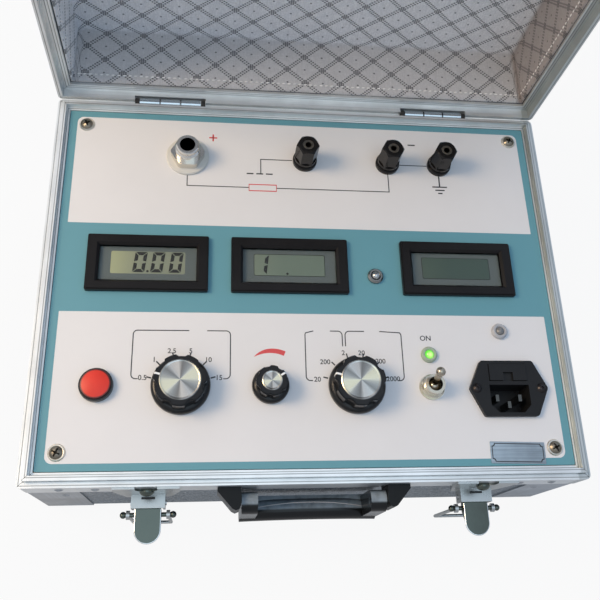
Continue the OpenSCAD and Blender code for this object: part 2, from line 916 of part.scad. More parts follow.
module panel_screws() {
    cup = 2.1 * screw_d;
    color("silver") {
        for (x = SIDES, y = SIDES)
            on_panel(x * (panel_w / 2 - screw_inset_x), y * (panel_d / 2 - screw_inset_y)) {
                rotate_extrude()
                    polygon([
                        [screw_d / 2, 0], [cup / 2 + 0.7, 0], [cup / 2, 1], [cup / 2 - 0.5, 1],
                        [screw_d / 2, 0.5]
                    ]);
                translate([0, 0, 0.5])
                    pan_screw(screw_d, 12);
            }
        for (x = SIDES)
            on_panel(inlet_x + x * inlet_screw_pitch / 2, inlet_y)
                translate([0, 0, inlet_t])
                    pan_screw(3, inlet_t - 0.4);
    }
}

// White washer on the panel and the liner at the foot of the socket's bore
module hv_insulators() {
    color("white")
        on_panel(socket_x, upper_y) {
            difference() {
                rotate_extrude()
                    polygon([
                        [0, 0], [washer_d / 2, 0], [washer_d / 2, washer_t - 0.5],
                        [washer_d / 2 - 0.5, washer_t], [0, washer_t]
                    ]);
                translate([0, 0, -1])
                    cylinder(h = washer_t + 2, d = socket_d);
            }
            translate([0, 0, socket_h - socket_depth - 0.3 - liner_h])
                difference() {
                    cylinder(h = liner_h, d = liner_d);
                    translate([0, 0, liner_h - 2])
                        cylinder(h = 3, d = 3);
                }
        }
}

// Nickel barrel with its lip, panel nut and back nut
module hv_socket() {
    low = -panel_t - 10;
    color("silver")
        on_panel(socket_x, upper_y) {
            difference() {
                union() {
                    translate([0, 0, low])
                        cylinder(h = socket_h - 4 - low, d = socket_d);
                    translate([0, 0, socket_h - 4])
                        cylinder(h = 1.2, d1 = socket_d, d2 = socket_lip_d);
                    translate([0, 0, socket_h - 4])
                        cylinder(h = 3.4, d = socket_lip_d);
                    translate([0, 0, socket_h - 0.6])
                        cylinder(h = 0.6, d1 = socket_lip_d, d2 = socket_lip_d - 1.2);
                }
                translate([0, 0, socket_h - socket_depth])
                    cylinder(h = socket_depth + 1, d = socket_bore_d);
                translate([0, 0, low - 1])
                    cylinder(h = socket_h - socket_depth - low + 2, d = liner_d);
            }
            for (place = [[washer_t, 5], [-panel_t - 4, 4]])
                translate([0, 0, place[0]])
                    difference() {
                        intersection() {
                            hex(socket_nut, place[1]);
                            cylinder(h = place[1], d = socket_nut * 1.11);
                        }
                        translate([0, 0, -1])
                            cylinder(h = place[1] + 2, d = socket_d);
                    }
        }
}

module post_flanges() {
    color("black")
        for (x = [guard_x, minus_x, earth_x])
            on_panel(x, upper_y)
                rotate_extrude()
                    polygon([
                        [stem_d / 2, 0], [post_flange_d / 2, 0],
                        [post_flange_d / 2, post_flange_h - 0.8],
                        [post_flange_d / 2 - 0.8, post_flange_h],
                        [cap_af / 2 - 1, post_flange_h], [cap_af / 2 - 1, post_flange_h + 1],
                        [stem_d / 2, post_flange_h + 1]
                    ]);
}

// Bored metal stems of the posts, with their back nuts
module post_stems() {
    tail = panel_t + 12;
    color("gold")
        for (x = [guard_x, minus_x, earth_x])
            on_panel(x, upper_y) {
                difference() {
                    translate([0, 0, -tail])
                        cylinder(h = tail + post_h - 0.4, d = stem_d);
                    translate([0, 0, post_h - 0.4 - plug_depth])
                        cylinder(h = plug_depth + 1, d = plug_d);
                }
                translate([0, 0, -panel_t - 3])
                    difference() {
                        hex(stem_d + 4, 3);
                        translate([0, 0, -1])
                            cylinder(h = 5, d = stem_d);
                    }
            }
}

// Screw-down cap with a chamfered hexagon and a round collar
module post_cap() {
    low = post_flange_h + 1.3;
    color("black")
        difference() {
            union() {
                intersection() {
                    translate([0, 0, low])
                        hex(cap_af, post_h - low);
                    translate([0, 0, low])
                        rotate_extrude()
                            polygon([
                                [0, 0], [cap_af * 0.55, 0], [cap_af * 0.58, 0.8],
                                [cap_af * 0.58, post_h - low - 1.6], [cap_af * 0.46, post_h - low],
                                [0, post_h - low]
                            ]);
                }
                translate([0, 0, low])
                    cylinder(h = 2, d = cap_af * 1.12);
            }
            translate([0, 0, low - 1])
                cylinder(h = post_h, d = stem_d + 2 * cap_play);
        }
}

module guard_cap() { on_panel(guard_x, upper_y) post_cap(); }
module minus_cap() { on_panel(minus_x, upper_y) post_cap(); }
module earth_cap() { on_panel(earth_x, upper_y) post_cap(); }

// Flat-sided funnel that cuts the bevel round a window
module window_bevel_cut() {
    grow = window_bevel;
    top = bezel_h + 0.01;
    intersection() {
        rotate([90, 0, 0])
            linear_extrude(meter_w, center = true)
                bevel_trapezium(window_w, grow, top);
        rotate([90, 0, 90])
            linear_extrude(2 * meter_w, center = true)
                bevel_trapezium(window_d, grow, top);
    }
}

module bevel_trapezium(size, grow, top) {
    polygon([
        [-size / 2, top - grow * bevel_slope], [size / 2, top - grow * bevel_slope],
        [size / 2 + grow, top], [-size / 2 - grow, top]
    ]);
}

// Snap-in meter case: bezel on the panel, box behind it, window through its face
module meter_case(x) {
    box_w = meter_w - 4;
    box_d = meter_d - 3;
    face_t = 2;
    color("black")
        on_panel(x, meter_y)
            difference() {
                union() {
                    linear_extrude(bezel_h - 0.8)
                        outline(meter_w, meter_d, 1);
                    linear_extrude(bezel_h)
                        outline(meter_w - 1.6, meter_d - 1.6, 0.6);
                    translate([-box_w / 2, -box_d / 2, -meter_depth])
                        cube([box_w, box_d, meter_depth + 1]);
                }
                translate([-box_w / 2 + meter_wall, -box_d / 2 + meter_wall, -meter_depth - 1])
                    cube([
                        box_w - 2 * meter_wall, box_d - 2 * meter_wall,
                        meter_depth + 1 + bezel_h - face_t
                    ]);
                translate([-window_w / 2, -window_d / 2, -1])
                    cube([window_w, window_d, bezel_h + 2]);
                window_bevel_cut();
            }
}

module left_meter_case() { meter_case(meter_left_x); }
module middle_meter_case() { meter_case(meter_mid_x); }
module right_meter_case() { meter_case(meter_right_x); }

// Clear windows behind the faces of the meters
module meter_windows() {
    color("lightsteelblue")
        for (x = [meter_left_x, meter_mid_x, meter_right_x])
            on_panel(x, meter_y)
                translate([0, 0, bezel_h - 2 - 0.75])
                    cube([window_w + 4, window_d + 3.6, 1.5], center = true);
}

// Circuit boards of the meters with their display blocks
module meter_boards() {
    w = meter_w - 4 - 2 * meter_wall;
    d = meter_d - 3 - 2 * meter_wall;
    display_top = bezel_h - 4.2;
    color("darkgreen")
        for (x = [meter_left_x, meter_mid_x, meter_right_x])
            on_panel(x, meter_y) {
                translate([-w / 2, -d / 2, -meter_depth + 4])
                    cube([w, d, 1.6]);
                translate([-window_w / 2, -window_d / 2, -meter_depth + 5.6])
                    cube([window_w, window_d, meter_depth - 5.6 + display_top]);
            }
}

// Bright rings of the two lamps and the hold button, with their bodies behind the panel
module ring_bezels() {
    tail = panel_t + 7;
    color("silver")
        for (place = [[toggle_x, power_y], [charger_x, charger_y], [hold_x, hold_y]])
            on_panel(place[0], place[1])
                rotate_extrude()
                    polygon([
                        [lens_d / 2 + 0.1, -tail], [ring_d / 2 - 1, -tail], [ring_d / 2 - 1, 0],
                        [ring_d / 2, 0], [ring_d / 2, 0.6 * ring_h], [ring_d / 2 - 0.9, ring_h],
                        [lens_d / 2 + 0.6, ring_h], [lens_d / 2 + 0.1, ring_h - 0.5]
                    ]);
}

// Round-nosed lamp that fills its ring
module lamp() {
    translate([0, 0, -panel_t - 6]) {
        cylinder(h = panel_t + 6 + ring_h - 0.6, d = lens_d + 0.2);
        translate([0, 0, panel_t + 6 + ring_h - 0.6])
            rivet(lens_d, lens_d * 0.32);
    }
}

module power_lamp() {
    color("lime") on_panel(toggle_x, power_y) lamp();
}

module charger_lamp() {
    color("dimgray") on_panel(charger_x, charger_y) lamp();
}

// Sprung metal plunger of the hold button
module hold_button() {
    color("lightgray")
        on_panel(hold_x, hold_y) {
            translate([0, 0, -panel_t - 4])
                cylinder(h = panel_t + 4 + ring_h, d = lens_d);
            translate([0, 0, ring_h])
                rivet(lens_d, hold_travel + 0.4);
        }
}

// Rotary switch or potentiometer behind the panel: body, threaded bush and panel nut
module rotary_body(x, d, h) {
    low = -panel_t - h;
    on_panel(x, control_y)
        difference() {
            union() {
                translate([0, 0, low])
                    cylinder(h = h, d = d);
                cylinder(h = 2.8, d = bush_d);
                translate([0, 0, -panel_t - 0.5])
                    cylinder(h = panel_t + 1, d = bush_d);
                hex(bush_d + 3.4, 2);
            }
            translate([0, 0, low + 4])
                cylinder(h = h + 20, d = spindle_d + 2 * spindle_play);
        }
}

module voltage_switch() { color("dimgray") rotary_body(voltage_x, switch_d, switch_h); }
module resistance_switch() { color("dimgray") rotary_body(ohms_x, switch_d, switch_h); }
module adjust_pot() { color("dimgray") rotary_body(adjust_x, pot_d, pot_h); }

// Fluted knob on a domed skirt, open below over its nut, bored for the spindle
module knob(d, h, disc, turn) {
    body_d = disc + (d - disc) * 0.62;
    skirt_rim = 1.6;
    dome = h * 0.32;
    pocket_d = bush_d + 3.4 + 4.6;
    color("black")
        difference() {
            union() {
                rotate_extrude()
                    polygon(concat(
                        [[0, knob_gap], [d / 2, knob_gap]],
                        [for (a = [0:15:90])
                            [body_d / 2 - 1 + (d - body_d + 2) / 2 * cos(a),
                             knob_gap + skirt_rim + (dome - skirt_rim) * sin(a)]],
                        [[0, knob_gap + dome]]
                    ));
                translate([0, 0, knob_gap])
                    linear_extrude(h - knob_gap - 1)
                        fluted_outline(body_d, turn);
                translate([0, 0, h - 1])
                    linear_extrude(1)
                        fluted_outline(body_d - 1.2, turn);
            }
            cylinder(h = 3.4, d = pocket_d);
            cylinder(h = h - 2, d = spindle_d);
            translate([0, 0, h - 0.8])
                cylinder(h = 2, d = disc);
        }
}

// Circle with scallops between its lobes, one of which lies at the angle given
module fluted_outline(d, turn) {
    difference() {
        circle(d = d);
        for (i = [0:FLUTES - 1])
            rotate(turn + (i + 0.5) * 360 / FLUTES)
                translate([0.61 * d, 0])
                    circle(0.164 * d);
    }
}

// Spindle and the turned disc that closes the top of its knob
module spindle(h, disc, depth) {
    color("silver") {
        translate([0, 0, -depth])
            cylinder(h = depth + h - 2, d = spindle_d);
        translate([0, 0, h - 0.8])
            rotate_extrude()
                polygon([
                    [0, 0], [disc / 2, 0], [disc / 2, 0.8], [disc / 2 - 0.5, 1.1],
                    [disc / 2 - 1.2, 0.9], [0, 0.9]
                ]);
    }
}

module voltage_knob() {
    on_panel(voltage_x, control_y) knob(knob_d, knob_h, disc_d, SELECTOR_TURN);
}

module resistance_knob() {
    on_panel(ohms_x, control_y) knob(knob_d, knob_h, disc_d, SELECTOR_TURN);
}

module adjust_knob() {
    on_panel(adjust_x, control_y) knob(small_knob_d, small_knob_h, small_disc_d, ADJUST_TURN);
}

module voltage_spindle() {
    on_panel(voltage_x, control_y) spindle(knob_h, disc_d, panel_t + switch_h - 5);
}

module resistance_spindle() {
    on_panel(ohms_x, control_y) spindle(knob_h, disc_d, panel_t + switch_h - 5);
}

module adjust_spindle() {
    on_panel(adjust_x, control_y) spindle(small_knob_h, small_disc_d, panel_t + pot_h - 5);
}

// Toggle switch: body, bush with thread grooves, washer and round nut
module toggle_switch() {
    pitch = 0.9;
    groove = 0.35;
    grooves = floor((toggle_bush_h - 4.6) / pitch);
    color("silver")
        on_panel(toggle_x, toggle_y)
            difference() {
                union() {
                    translate([-toggle_body[0] / 2, -toggle_body[1] / 2, -panel_t - toggle_body[2]])
                        cube(toggle_body);
                    translate([0, 0, -panel_t - 0.5])
                        cylinder(h = panel_t + 0.5 + toggle_bush_h, d = toggle_bush_d);
                    cylinder(h = 1, d = toggle_bush_d + 3.6);
                    translate([0, 0, 1])
                        cylinder(h = 2.4, d = toggle_bush_d + 2.2);
                    translate([0, 0, 3.4])
                        cylinder(h = 0.6, d1 = toggle_bush_d + 2.2, d2 = toggle_bush_d + 1);
                }
                for (i = [1:grooves])
                    translate([0, 0, 4 + i * pitch])
                        rotate_extrude()
                            polygon([
                                [toggle_bush_d / 2 - groove, 0], [toggle_bush_d / 2 + 0.1, -groove],
                                [toggle_bush_d / 2 + 0.1, groove]
                            ]);
                translate([0, 0, -panel_t - 12])
                    cylinder(h = panel_t + 12 + toggle_bush_h + 1, d = toggle_bush_d - 3.4);
            }
}

// Lever of the toggle switch, leaning back to its on side
module toggle_lever() {
    color("silver")
        on_panel(toggle_x, toggle_y)
            translate([0, 0, toggle_bush_h - 5])
                rotate([-toggle_lean, 0, 0]) {
                    sphere(d = toggle_bush_d - 4.2);
                    translate([0, 0, -9])
                        cylinder(h = 9, d = 3);
                    cylinder(h = toggle_l, d1 = 3, d2 = 4.4);
                    translate([0, 0, toggle_l])
                        sphere(d = 5.6);
                }
}

// Ring and threaded body of the test button
module test_button_body() {
    low = -panel_t - 16;
    color("black")
        on_panel(test_x, control_y)
            difference() {
                union() {
                    cylinder(h = test_ring_h - 0.6, d = test_ring_d);
                    cylinder(h = test_ring_h, d = test_ring_d - 0.8);
                    translate([0, 0, low])
                        cylinder(h = 1 - low, d = test_body_d);
                    translate([0, 0, -panel_t - 3])
                        hex(test_body_d + 4, 3);
                }
                translate([0, 0, 1])
                    cylinder(h = test_ring_h, d = test_ring_d - 1.6);
                translate([0, 0, low + 2])
                    cylinder(h = 20, d = test_body_d - 4);
            }
}

// Red cap with its stem
module test_button_cap() {
    cap_d = test_ring_d - 2.2;
    rest = 1.3 + test_travel;
    color("red")
        on_panel(test_x, control_y) {
            translate([0, 0, rest])
                cylinder(h = test_ring_h + test_rise - 1.2 - rest, d = cap_d);
            translate([0, 0, test_ring_h + test_rise - 1.2])
                rivet(cap_d, 1.2);
            translate([0, 0, -panel_t - 10])
                cylinder(h = panel_t + 10 + rest + 0.5, d = 4);
        }
}

// Point on a coil of the test button's spring
function coil(turn, radius, low, high, turns) =
    [radius * cos(360 * turn), radius * sin(360 * turn), low + (high - low) * turn / turns];

// Ring of points round a coil at the given turn
function coil_ring(turn, radius, wire, low, high, turns, sides) =
    let (c = coil(turn, radius, low, high, turns))
    [for (s = [0:sides - 1])
        let (a = 360 * s / sides)
        c + wire / 2 * [cos(a) * cos(360 * turn), cos(a) * sin(360 * turn), sin(a)]];

module test_button_spring() {
    sides = 6;
    turns = 6;
    steps = 14 * turns;
    wire = 0.7;
    low = -panel_t - 13.6;
    high = 1.3 + test_travel - wire / 2 - 0.05;
    points = [for (i = [0:steps]) each coil_ring(i * turns / steps, 3.6, wire, low, high, turns, sides)];
    sides_list = [for (i = [0:steps - 1], s = [0:sides - 1])
        let (n = (s + 1) % sides)
        [i * sides + s, i * sides + n, (i + 1) * sides + n, (i + 1) * sides + s]];
    color("silver")
        on_panel(test_x, control_y)
            polyhedron(points, concat(
                [[for (s = [sides - 1:-1:0]) s]], sides_list,
                [[for (s = [0:sides - 1]) steps * sides + s]]
            ));
}

// Recess outline of the mains inlet, with two cut corners on its lower side
module recess_outline() {
    cut = 4.5;
    polygon([
        [-recess_w / 2 + cut, -recess_d / 2], [recess_w / 2 - cut, -recess_d / 2],
        [recess_w / 2, -recess_d / 2 + cut], [recess_w / 2, recess_d / 2],
        [-recess_w / 2, recess_d / 2], [-recess_w / 2, -recess_d / 2 + cut]
    ]);
}

// Outward direction of the edge that starts at point i of a counter-clockwise outline
function edge_out(points, i) =
    let (d = points[(i + 1) % len(points)] - points[i])
    [d[1], -d[0]] / norm(d);

// Flat shape with rounded corners about the centres given, counter-clockwise
module rounded(centres, r) {
    n = len(centres);
    polygon([for (i = [0:n - 1], e = [i + n - 1, i]) centres[i] + r * edge_out(centres, e % n)]);
    for (c = centres)
        translate(c)
            circle(r);
}

// Flanged body of the mains inlet, with the socket recess and the drawer's shaft
module inlet_body() {
    soft = 2;
    color("black")
        on_panel(inlet_x, inlet_y)
            difference() {
                union() {
                    linear_extrude(inlet_t)
                        rounded([
                            [-inlet_flat / 2, -inlet_d / 2 + soft], [inlet_flat / 2, -inlet_d / 2 + soft],
                            [inlet_w / 2 - soft, 0], [inlet_flat / 2, inlet_d / 2 - soft],
                            [-inlet_flat / 2, inlet_d / 2 - soft], [-inlet_w / 2 + soft, 0]
                        ], soft);
                    translate([-inlet_body_w / 2, -inlet_body_d / 2, -drawer_depth - 2])
                        cube([inlet_body_w, inlet_body_d, drawer_depth + 3]);
                }
                translate([0, recess_y, inlet_t - recess_depth])
                    linear_extrude(recess_depth + 1)
                        recess_outline();
                translate([-drawer_w / 2 - 0.3, drawer_y - drawer_d / 2 - 0.3, -drawer_depth])
                    cube([drawer_w + 0.6, drawer_d + 0.6, drawer_depth + inlet_t + 1]);
                for (x = SIDES)
                    translate([x * inlet_screw_pitch / 2, 0, -1])
                        cylinder(h = inlet_t + 2, d = 3);
            }
}

// Three flat blades that stand in the recess
module inlet_blades() {
    foot = inlet_t - recess_depth;
    color("gainsboro")
        on_panel(inlet_x, inlet_y)
            for (place = [[-blade_pitch / 2, 1], [blade_pitch / 2, 1], [0, -3]])
                translate([place[0] - 1, recess_y + place[1] - 2, foot])
                    cube([2, 4, recess_depth - 3]);
}

// Fuse drawer with a finger slot in its face
module fuse_drawer() {
    color("black")
        on_panel(inlet_x, inlet_y)
            translate([0, drawer_y, 0])
                difference() {
                    translate([-drawer_w / 2, -drawer_d / 2, -drawer_depth + 0.3])
                        cube([drawer_w, drawer_d, drawer_depth - 0.3 + inlet_t + 0.6]);
                    translate([-3, -drawer_d, inlet_t - 1.2])
                        cube([6, drawer_d, 3]);
                    translate([-10.4, -2.8, -drawer_depth + 3])
                        cube([20.8, drawer_d, 6]);
                }
}

module fuse() {
    color("gainsboro")
        on_panel(inlet_x, inlet_y)
            translate([0, drawer_y - 0.2, -drawer_depth + 5.6])
                rotate([0, 90, 0])
                    cylinder(h = 20, d = 5.2, center = true);
}

// Main circuit board on four pillars, with its larger components
module main_board() {
    pillar_h = 0.09 * base_h;
    tall = 0.25 * base_h;
    color("darkgreen")
        translate([board_at[0], board_at[1], floor_t]) {
            for (x = SIDES, y = SIDES)
                translate([x * (board[0] / 2 - 6), y * (board[1] / 2 - 6), 0])
                    cylinder(h = pillar_h, d = 8);
            translate([-board[0] / 2, -board[1] / 2, pillar_h])
                cube([board[0], board[1], 1.6]);
            for (part = [[-0.34, -0.22, 0.6], [-0.06, 0.12, 1], [0.2, -0.22, 0.45]])
                translate([part[0] * board[0], part[1] * board[1], pillar_h + 1])
                    cube([0.16 * board[0], 0.2 * board[1], part[2] * tall]);
        }
}

// Potted high-voltage converter in a tray
module hv_module() {
    wall = 3;
    color("dimgray")
        translate([module_at[0], module_at[1], floor_t])
            difference() {
                linear_extrude(module_size[2])
                    outline(module_size[0], module_size[1], wall);
                translate([0, 0, module_size[2] - wall])
                    linear_extrude(wall + 1)
                        outline(module_size[0] - 2 * wall, module_size[1] - 2 * wall, wall / 2);
            }
}

// Rechargeable battery with its two tabs
module battery() {
    tab = [0.015 * case_w, 0.8, 0.08 * base_h];
    color("darkslategray")
        translate([battery_at[0], battery_at[1], floor_t]) {
            linear_extrude(battery_size[2])
                outline(battery_size[0], battery_size[1], 2);
            for (x = SIDES)
                translate([x * 0.4 * battery_size[0], battery_size[1] / 3, battery_size[2] - 1])
                    cube(tab);
        }
}

module lid_shell() {
    color("slategray")
        as_lid_body()
            board_box(lid_h, step_d + web_t);
}

// Places a lid part that is drawn rim plane up, hinged edge at +Y
module as_lid_body() {
    shut_to_open()
        translate([0, 0, base_h + rim_gap])
            mirror([0, 0, 1])
                children();
}

module lid_rim() {
    color("silver")
        as_lid_body()
            difference() {
                union() {
                    band(0, edge_t, -leg_h, 0);
                    band(0, flange_w, -web_t, 0);
                    band(flange_w - edge_t, flange_w, -step_d - web_t, 0);
                    band(flange_w - edge_t, rim_w, -step_d - web_t, -step_d);
                }
                mitres(leg_h + 1, 1);
                hinge_notches();
            }
}

module lid_corner_angles() {
    color("lightgray")
        as_lid_body()
            angles_and_rivets(lid_h);
}

// Lining of the lid's walls and top, an open box of clothed card
module lid_lining() {
    inset = edge_t + wall_t;
    color("darkgray")
        as_lid_body()
            translate([0, 0, -lid_h + floor_t])
                difference() {
                    linear_extrude(lid_h - floor_t - step_d - web_t)
                        outline(case_w - 2 * inset, case_d - 2 * inset, 1);
                    translate([0, 0, lining_t])
                        linear_extrude(lid_h)
                            outline(case_w - 2 * (inset + lining_t), case_d - 2 * (inset + lining_t), 1);
                }
}

base_shell();
base_rim();
base_corner_angles();
feet();
hinge_base_leaves();
pivot_pins();
latch_housings();
handle_brackets();
front_panel();
panel_blocks();
panel_screws();
hv_insulators();
hv_socket();
post_flanges();
post_stems();
left_meter_case();
middle_meter_case();
right_meter_case();
meter_windows();
meter_boards();
ring_bezels();
power_lamp();
charger_lamp();
voltage_switch();
resistance_switch();
adjust_pot();
toggle_switch();
test_button_body();
inlet_body();
inlet_blades();
main_board();
hv_module();
battery();
handle_grip();
latch_lever_left();
latch_lever_right();
latch_bail_left();
latch_bail_right();
guard_cap();
minus_cap();
earth_cap();
voltage_knob();
voltage_spindle();
resistance_knob();
resistance_spindle();
adjust_knob();
adjust_spindle();
toggle_lever();
test_button_cap();
test_button_spring();
hold_button();
fuse_drawer();
fuse();
lid_shell();
lid_rim();
lid_corner_angles();
lid_lining();
latch_keepers();
hinge_lid_leaves();
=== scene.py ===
"""Looks of the insulation tester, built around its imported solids.

Metres, X to the right, Y towards the hinges, Z up.
"""

import json
import math

import bmesh
import bpy
from mathutils import Matrix, Vector, noise
from mathutils.bvhtree import BVHTree


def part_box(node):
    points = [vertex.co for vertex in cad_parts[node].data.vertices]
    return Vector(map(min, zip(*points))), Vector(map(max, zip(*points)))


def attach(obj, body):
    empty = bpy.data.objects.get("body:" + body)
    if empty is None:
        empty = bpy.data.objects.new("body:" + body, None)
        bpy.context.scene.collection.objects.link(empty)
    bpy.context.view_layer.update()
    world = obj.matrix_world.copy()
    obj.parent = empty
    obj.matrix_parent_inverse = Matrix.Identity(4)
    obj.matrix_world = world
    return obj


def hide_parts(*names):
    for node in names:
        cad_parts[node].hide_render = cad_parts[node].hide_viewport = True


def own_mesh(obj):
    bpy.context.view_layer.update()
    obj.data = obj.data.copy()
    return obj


MM = 0.001
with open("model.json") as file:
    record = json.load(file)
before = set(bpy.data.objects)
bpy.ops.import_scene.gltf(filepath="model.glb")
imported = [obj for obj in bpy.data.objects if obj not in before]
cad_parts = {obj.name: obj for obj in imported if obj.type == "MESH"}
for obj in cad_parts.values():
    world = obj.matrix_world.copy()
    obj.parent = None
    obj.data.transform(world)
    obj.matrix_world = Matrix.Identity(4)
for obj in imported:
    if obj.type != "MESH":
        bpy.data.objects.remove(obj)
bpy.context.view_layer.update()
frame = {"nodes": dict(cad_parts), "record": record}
NODES = frame["nodes"]
PANEL_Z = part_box("front_panel")[1].z

# Places of the panel's parts, in millimetres from its middle
UPPER_Y, METER_Y, CONTROL_Y = 82.8, 7.5, -67.3
SOCKET = (-76.5, UPPER_Y)
METERS = {"left": -98.0, "middle": -12.3, "right": 93.7}
VOLTAGE_X, ADJUST_X, OHMS_X, TOGGLE_X = -76.2, -25.1, 25.4, 70.5
TEST_BUTTON = (-122.9, CONTROL_Y)
POWER_LAMP = (TOGGLE_X, -48.5)
CHARGE_LAMP = (116.5, -33.4)
INLET = (117.2, -69.4)
PANEL_SCREW = (141.3, 104.2)
BLOCK_X = 147.2
BAND_LOW, BAND_HIGH = -23.2, 34.1

# Thickness of a printed layer and widths of its lines, signs and ticks, in millimetres
INK = 0.05
LINE_W, SIGN_W, TICK_W = 0.6, 0.9, 0.8

# Angles of the knobs' pointers, in degrees
SELECTOR_TURN = 165
ADJUST_TURN = 30

# Middle, height, half notch and half middle knuckle of a hinge, in millimetres
HINGE_X, HINGE_Z = 89, 86.15
NOTCH_HALF, KNUCKLE_HALF = 21.35, 6.65

# Where the rims' side bars begin, in metres, and lines of painted shade for fine grooves in from
# the edge, in millimetres
SIDE_X = 0.1525
RIM_SHADE_LINES = (1.3, 5.0, 6.7)

# Thickness, inner half width and half height, middle and back of the lid's lining, in metres
CLOTH_T = 1.5 * MM
LINING_LOW, LINING_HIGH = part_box("lid_lining")
LINING_X = (LINING_HIGH.x - LINING_LOW.x) / 2 - CLOTH_T
LINING_Z = (LINING_HIGH.z - LINING_LOW.z) / 2 - CLOTH_T
LINING_MID = (LINING_HIGH.z + LINING_LOW.z) / 2
LINING_BACK = LINING_HIGH.y - CLOTH_T

# Share of the white surround that metal mirrors
MIRRORED = 0.35


def shade(colour, factor):
    return tuple(min(1.0, c * factor) for c in colour)


class Nodes:
    """Nodes of one material or world."""

    def __init__(self, tree):
        self.tree = tree

    def node(self, kind, inputs=None, **settings):
        """New node; each input is a value, or a socket that is linked to it."""
        made = self.tree.nodes.new(kind)
        for name, value in settings.items():
            setattr(made, name, value)
        for name, value in (inputs or {}).items():
            if isinstance(value, bpy.types.NodeSocket):
                self.tree.links.new(value, made.inputs[name])
            else:
                made.inputs[name].default_value = value
        return made

    def axes(self, vector):
        """X, Y and Z of a vector."""
        return tuple(self.node("ShaderNodeSeparateXYZ", {"Vector": vector}).outputs)

    def range(self, value, low, high, to_low=0.0, to_high=1.0):
        limits = {"From Min": low, "From Max": high, "To Min": to_low, "To Max": to_high}
        return self.node("ShaderNodeMapRange", {"Value": value, **limits}).outputs["Result"]

    def near(self, distance, low, high, full=1.0):
        """Full where the distance is below low millimetres, falling to 0 at high."""
        return self.range(distance, low * MM, high * MM, full, 0.0)

    def math(self, operation, value, *others):
        """Result of an operation, which is repeated from left to right for more than two values."""
        for other in others or (0.0,):
            made = self.node("ShaderNodeMath", {0: value, 1: other}, operation=operation)
            value = made.outputs[0]
        return value

    def absolute(self, value):
        return self.math("ABSOLUTE", value)

    def squares(self, a, b):
        """Sum of two squares."""
        return self.math("ADD", self.math("POWER", a, 2.0), self.math("POWER", b, 2.0))

    def mix(self, factor, a, b):
        """Colour that goes from a to b with the factor; a and b are colours or sockets."""
        ends = (v if isinstance(v, bpy.types.NodeSocket) else (*v, 1.0) for v in (a, b))
        inputs = dict(zip((0, 6, 7), (factor, *ends)))
        return self.node("ShaderNodeMix", inputs, data_type="RGBA").outputs[2]


class Shader(Nodes):
    """One material's nodes around its Principled shader."""

    def __init__(self, name, colour, roughness=0.5, metallic=0.0):
        self.name = name
        self.material = bpy.data.materials.new(name)
        self.material.use_nodes = True
        super().__init__(self.material.node_tree)
        self.bsdf = self.tree.nodes["Principled BSDF"]
        self.set(Base_Color=(*colour, 1.0), Roughness=roughness, Metallic=metallic)
        self.coordinates = self.node("ShaderNodeTexCoord").outputs
        self.place = self.coordinates["Object"]
        self.x, self.y, self.z = self.axes(self.place)

    def set(self, **values):
        """Sets the shader's own sockets, with an underscore for each space."""
        for name, value in values.items():
            self.bsdf.inputs[name.replace("_", " ")].default_value = value

    def link(self, output, name):
        self.tree.links.new(output, self.bsdf.inputs[name])

    def stretched(self, scale, turn=(0, 0, 0)):
        """Object coordinates, scaled per axis."""
        inputs = {"Vector": self.place, "Scale": scale, "Rotation": turn}
        return self.node("ShaderNodeMapping", inputs).outputs["Vector"]

    def noise(self, scale, detail=3.0, roughness=0.6, vector=None):
        look = {"Scale": scale, "Detail": detail, "Roughness": roughness}
        made = self.node("ShaderNodeTexNoise", {"Vector": vector or self.place, **look})
        return made.outputs["Fac"]

    def cells(self, scale, randomness=1.0, vector=None):
        """Distance to the nearest of many scattered points."""
        look = {"Scale": scale, "Randomness": randomness}
        made = self.node("ShaderNodeTexVoronoi", {"Vector": vector or self.place, **look})
        return made.outputs["Distance"]

    def tint(self, factor, low, high):
        """Colour that goes from low to high with the factor."""
        self.link(self.mix(factor, low, high), "Base Color")

    def stain(self, factor, colour):
        """Lays a colour over the colour so far."""
        self.tint(factor, self.bsdf.inputs["Base Color"].links[0].from_socket, colour)

    def rough(self, factor, low, high):
        self.link(self.range(factor, 0, 1, low, high), "Roughness")

    def bump(self, height, depth_mm, strength=1.0):
        inputs = {"Height": height, "Distance": depth_mm * MM, "Strength": strength}
        self.link(self.node("ShaderNodeBump", inputs).outputs["Normal"], "Normal")

    def offset(self, x, y):
        """Distances to the right of, behind and from the vertical axis at (x, y) millimetres."""
        right = self.math("SUBTRACT", self.x, x * MM)
        back = self.math("SUBTRACT", self.y, y * MM)
        return right, back, self.math("SQRT", self.squares(right, back))

    def bore(self, x, y, radius, dark):
        """Darkens what lies nearer to the vertical axis at (x, y) than the radius."""
        self.stain(self.near(self.offset(x, y)[2], radius, radius + 0.1), dark)


def brushed(name, colour, roughness, axis, metallic=1.0, depth=0.01, side=None, wear=0.62,
            pitch=900.0):
    """Worn metal with streaks along an axis, or along side's axis beyond side's distance."""
    made = Shader(name, colour, roughness, metallic)

    def streaks(along):
        scale = [12.0 if other == along else pitch for other in "xyz"]
        return made.noise(1.0, 3.0, 0.75, vector=made.stretched(scale))

    streak = streaks(axis)
    if side:
        side_axis, side_from = side
        on_side = made.math("GREATER_THAN", made.absolute(made.x), side_from)
        streak = made.mix(on_side, streak, streaks(side_axis))
    blotch = made.noise(38.0, 4.0)
    worn = made.range(made.math("MULTIPLY", streak, blotch), 0.12, 0.4)
    made.tint(worn, shade(colour, wear), shade(colour, 1.15))
    made.rough(streak, roughness * 0.75, roughness * 1.3)
    made.bump(streak, depth)
    return made


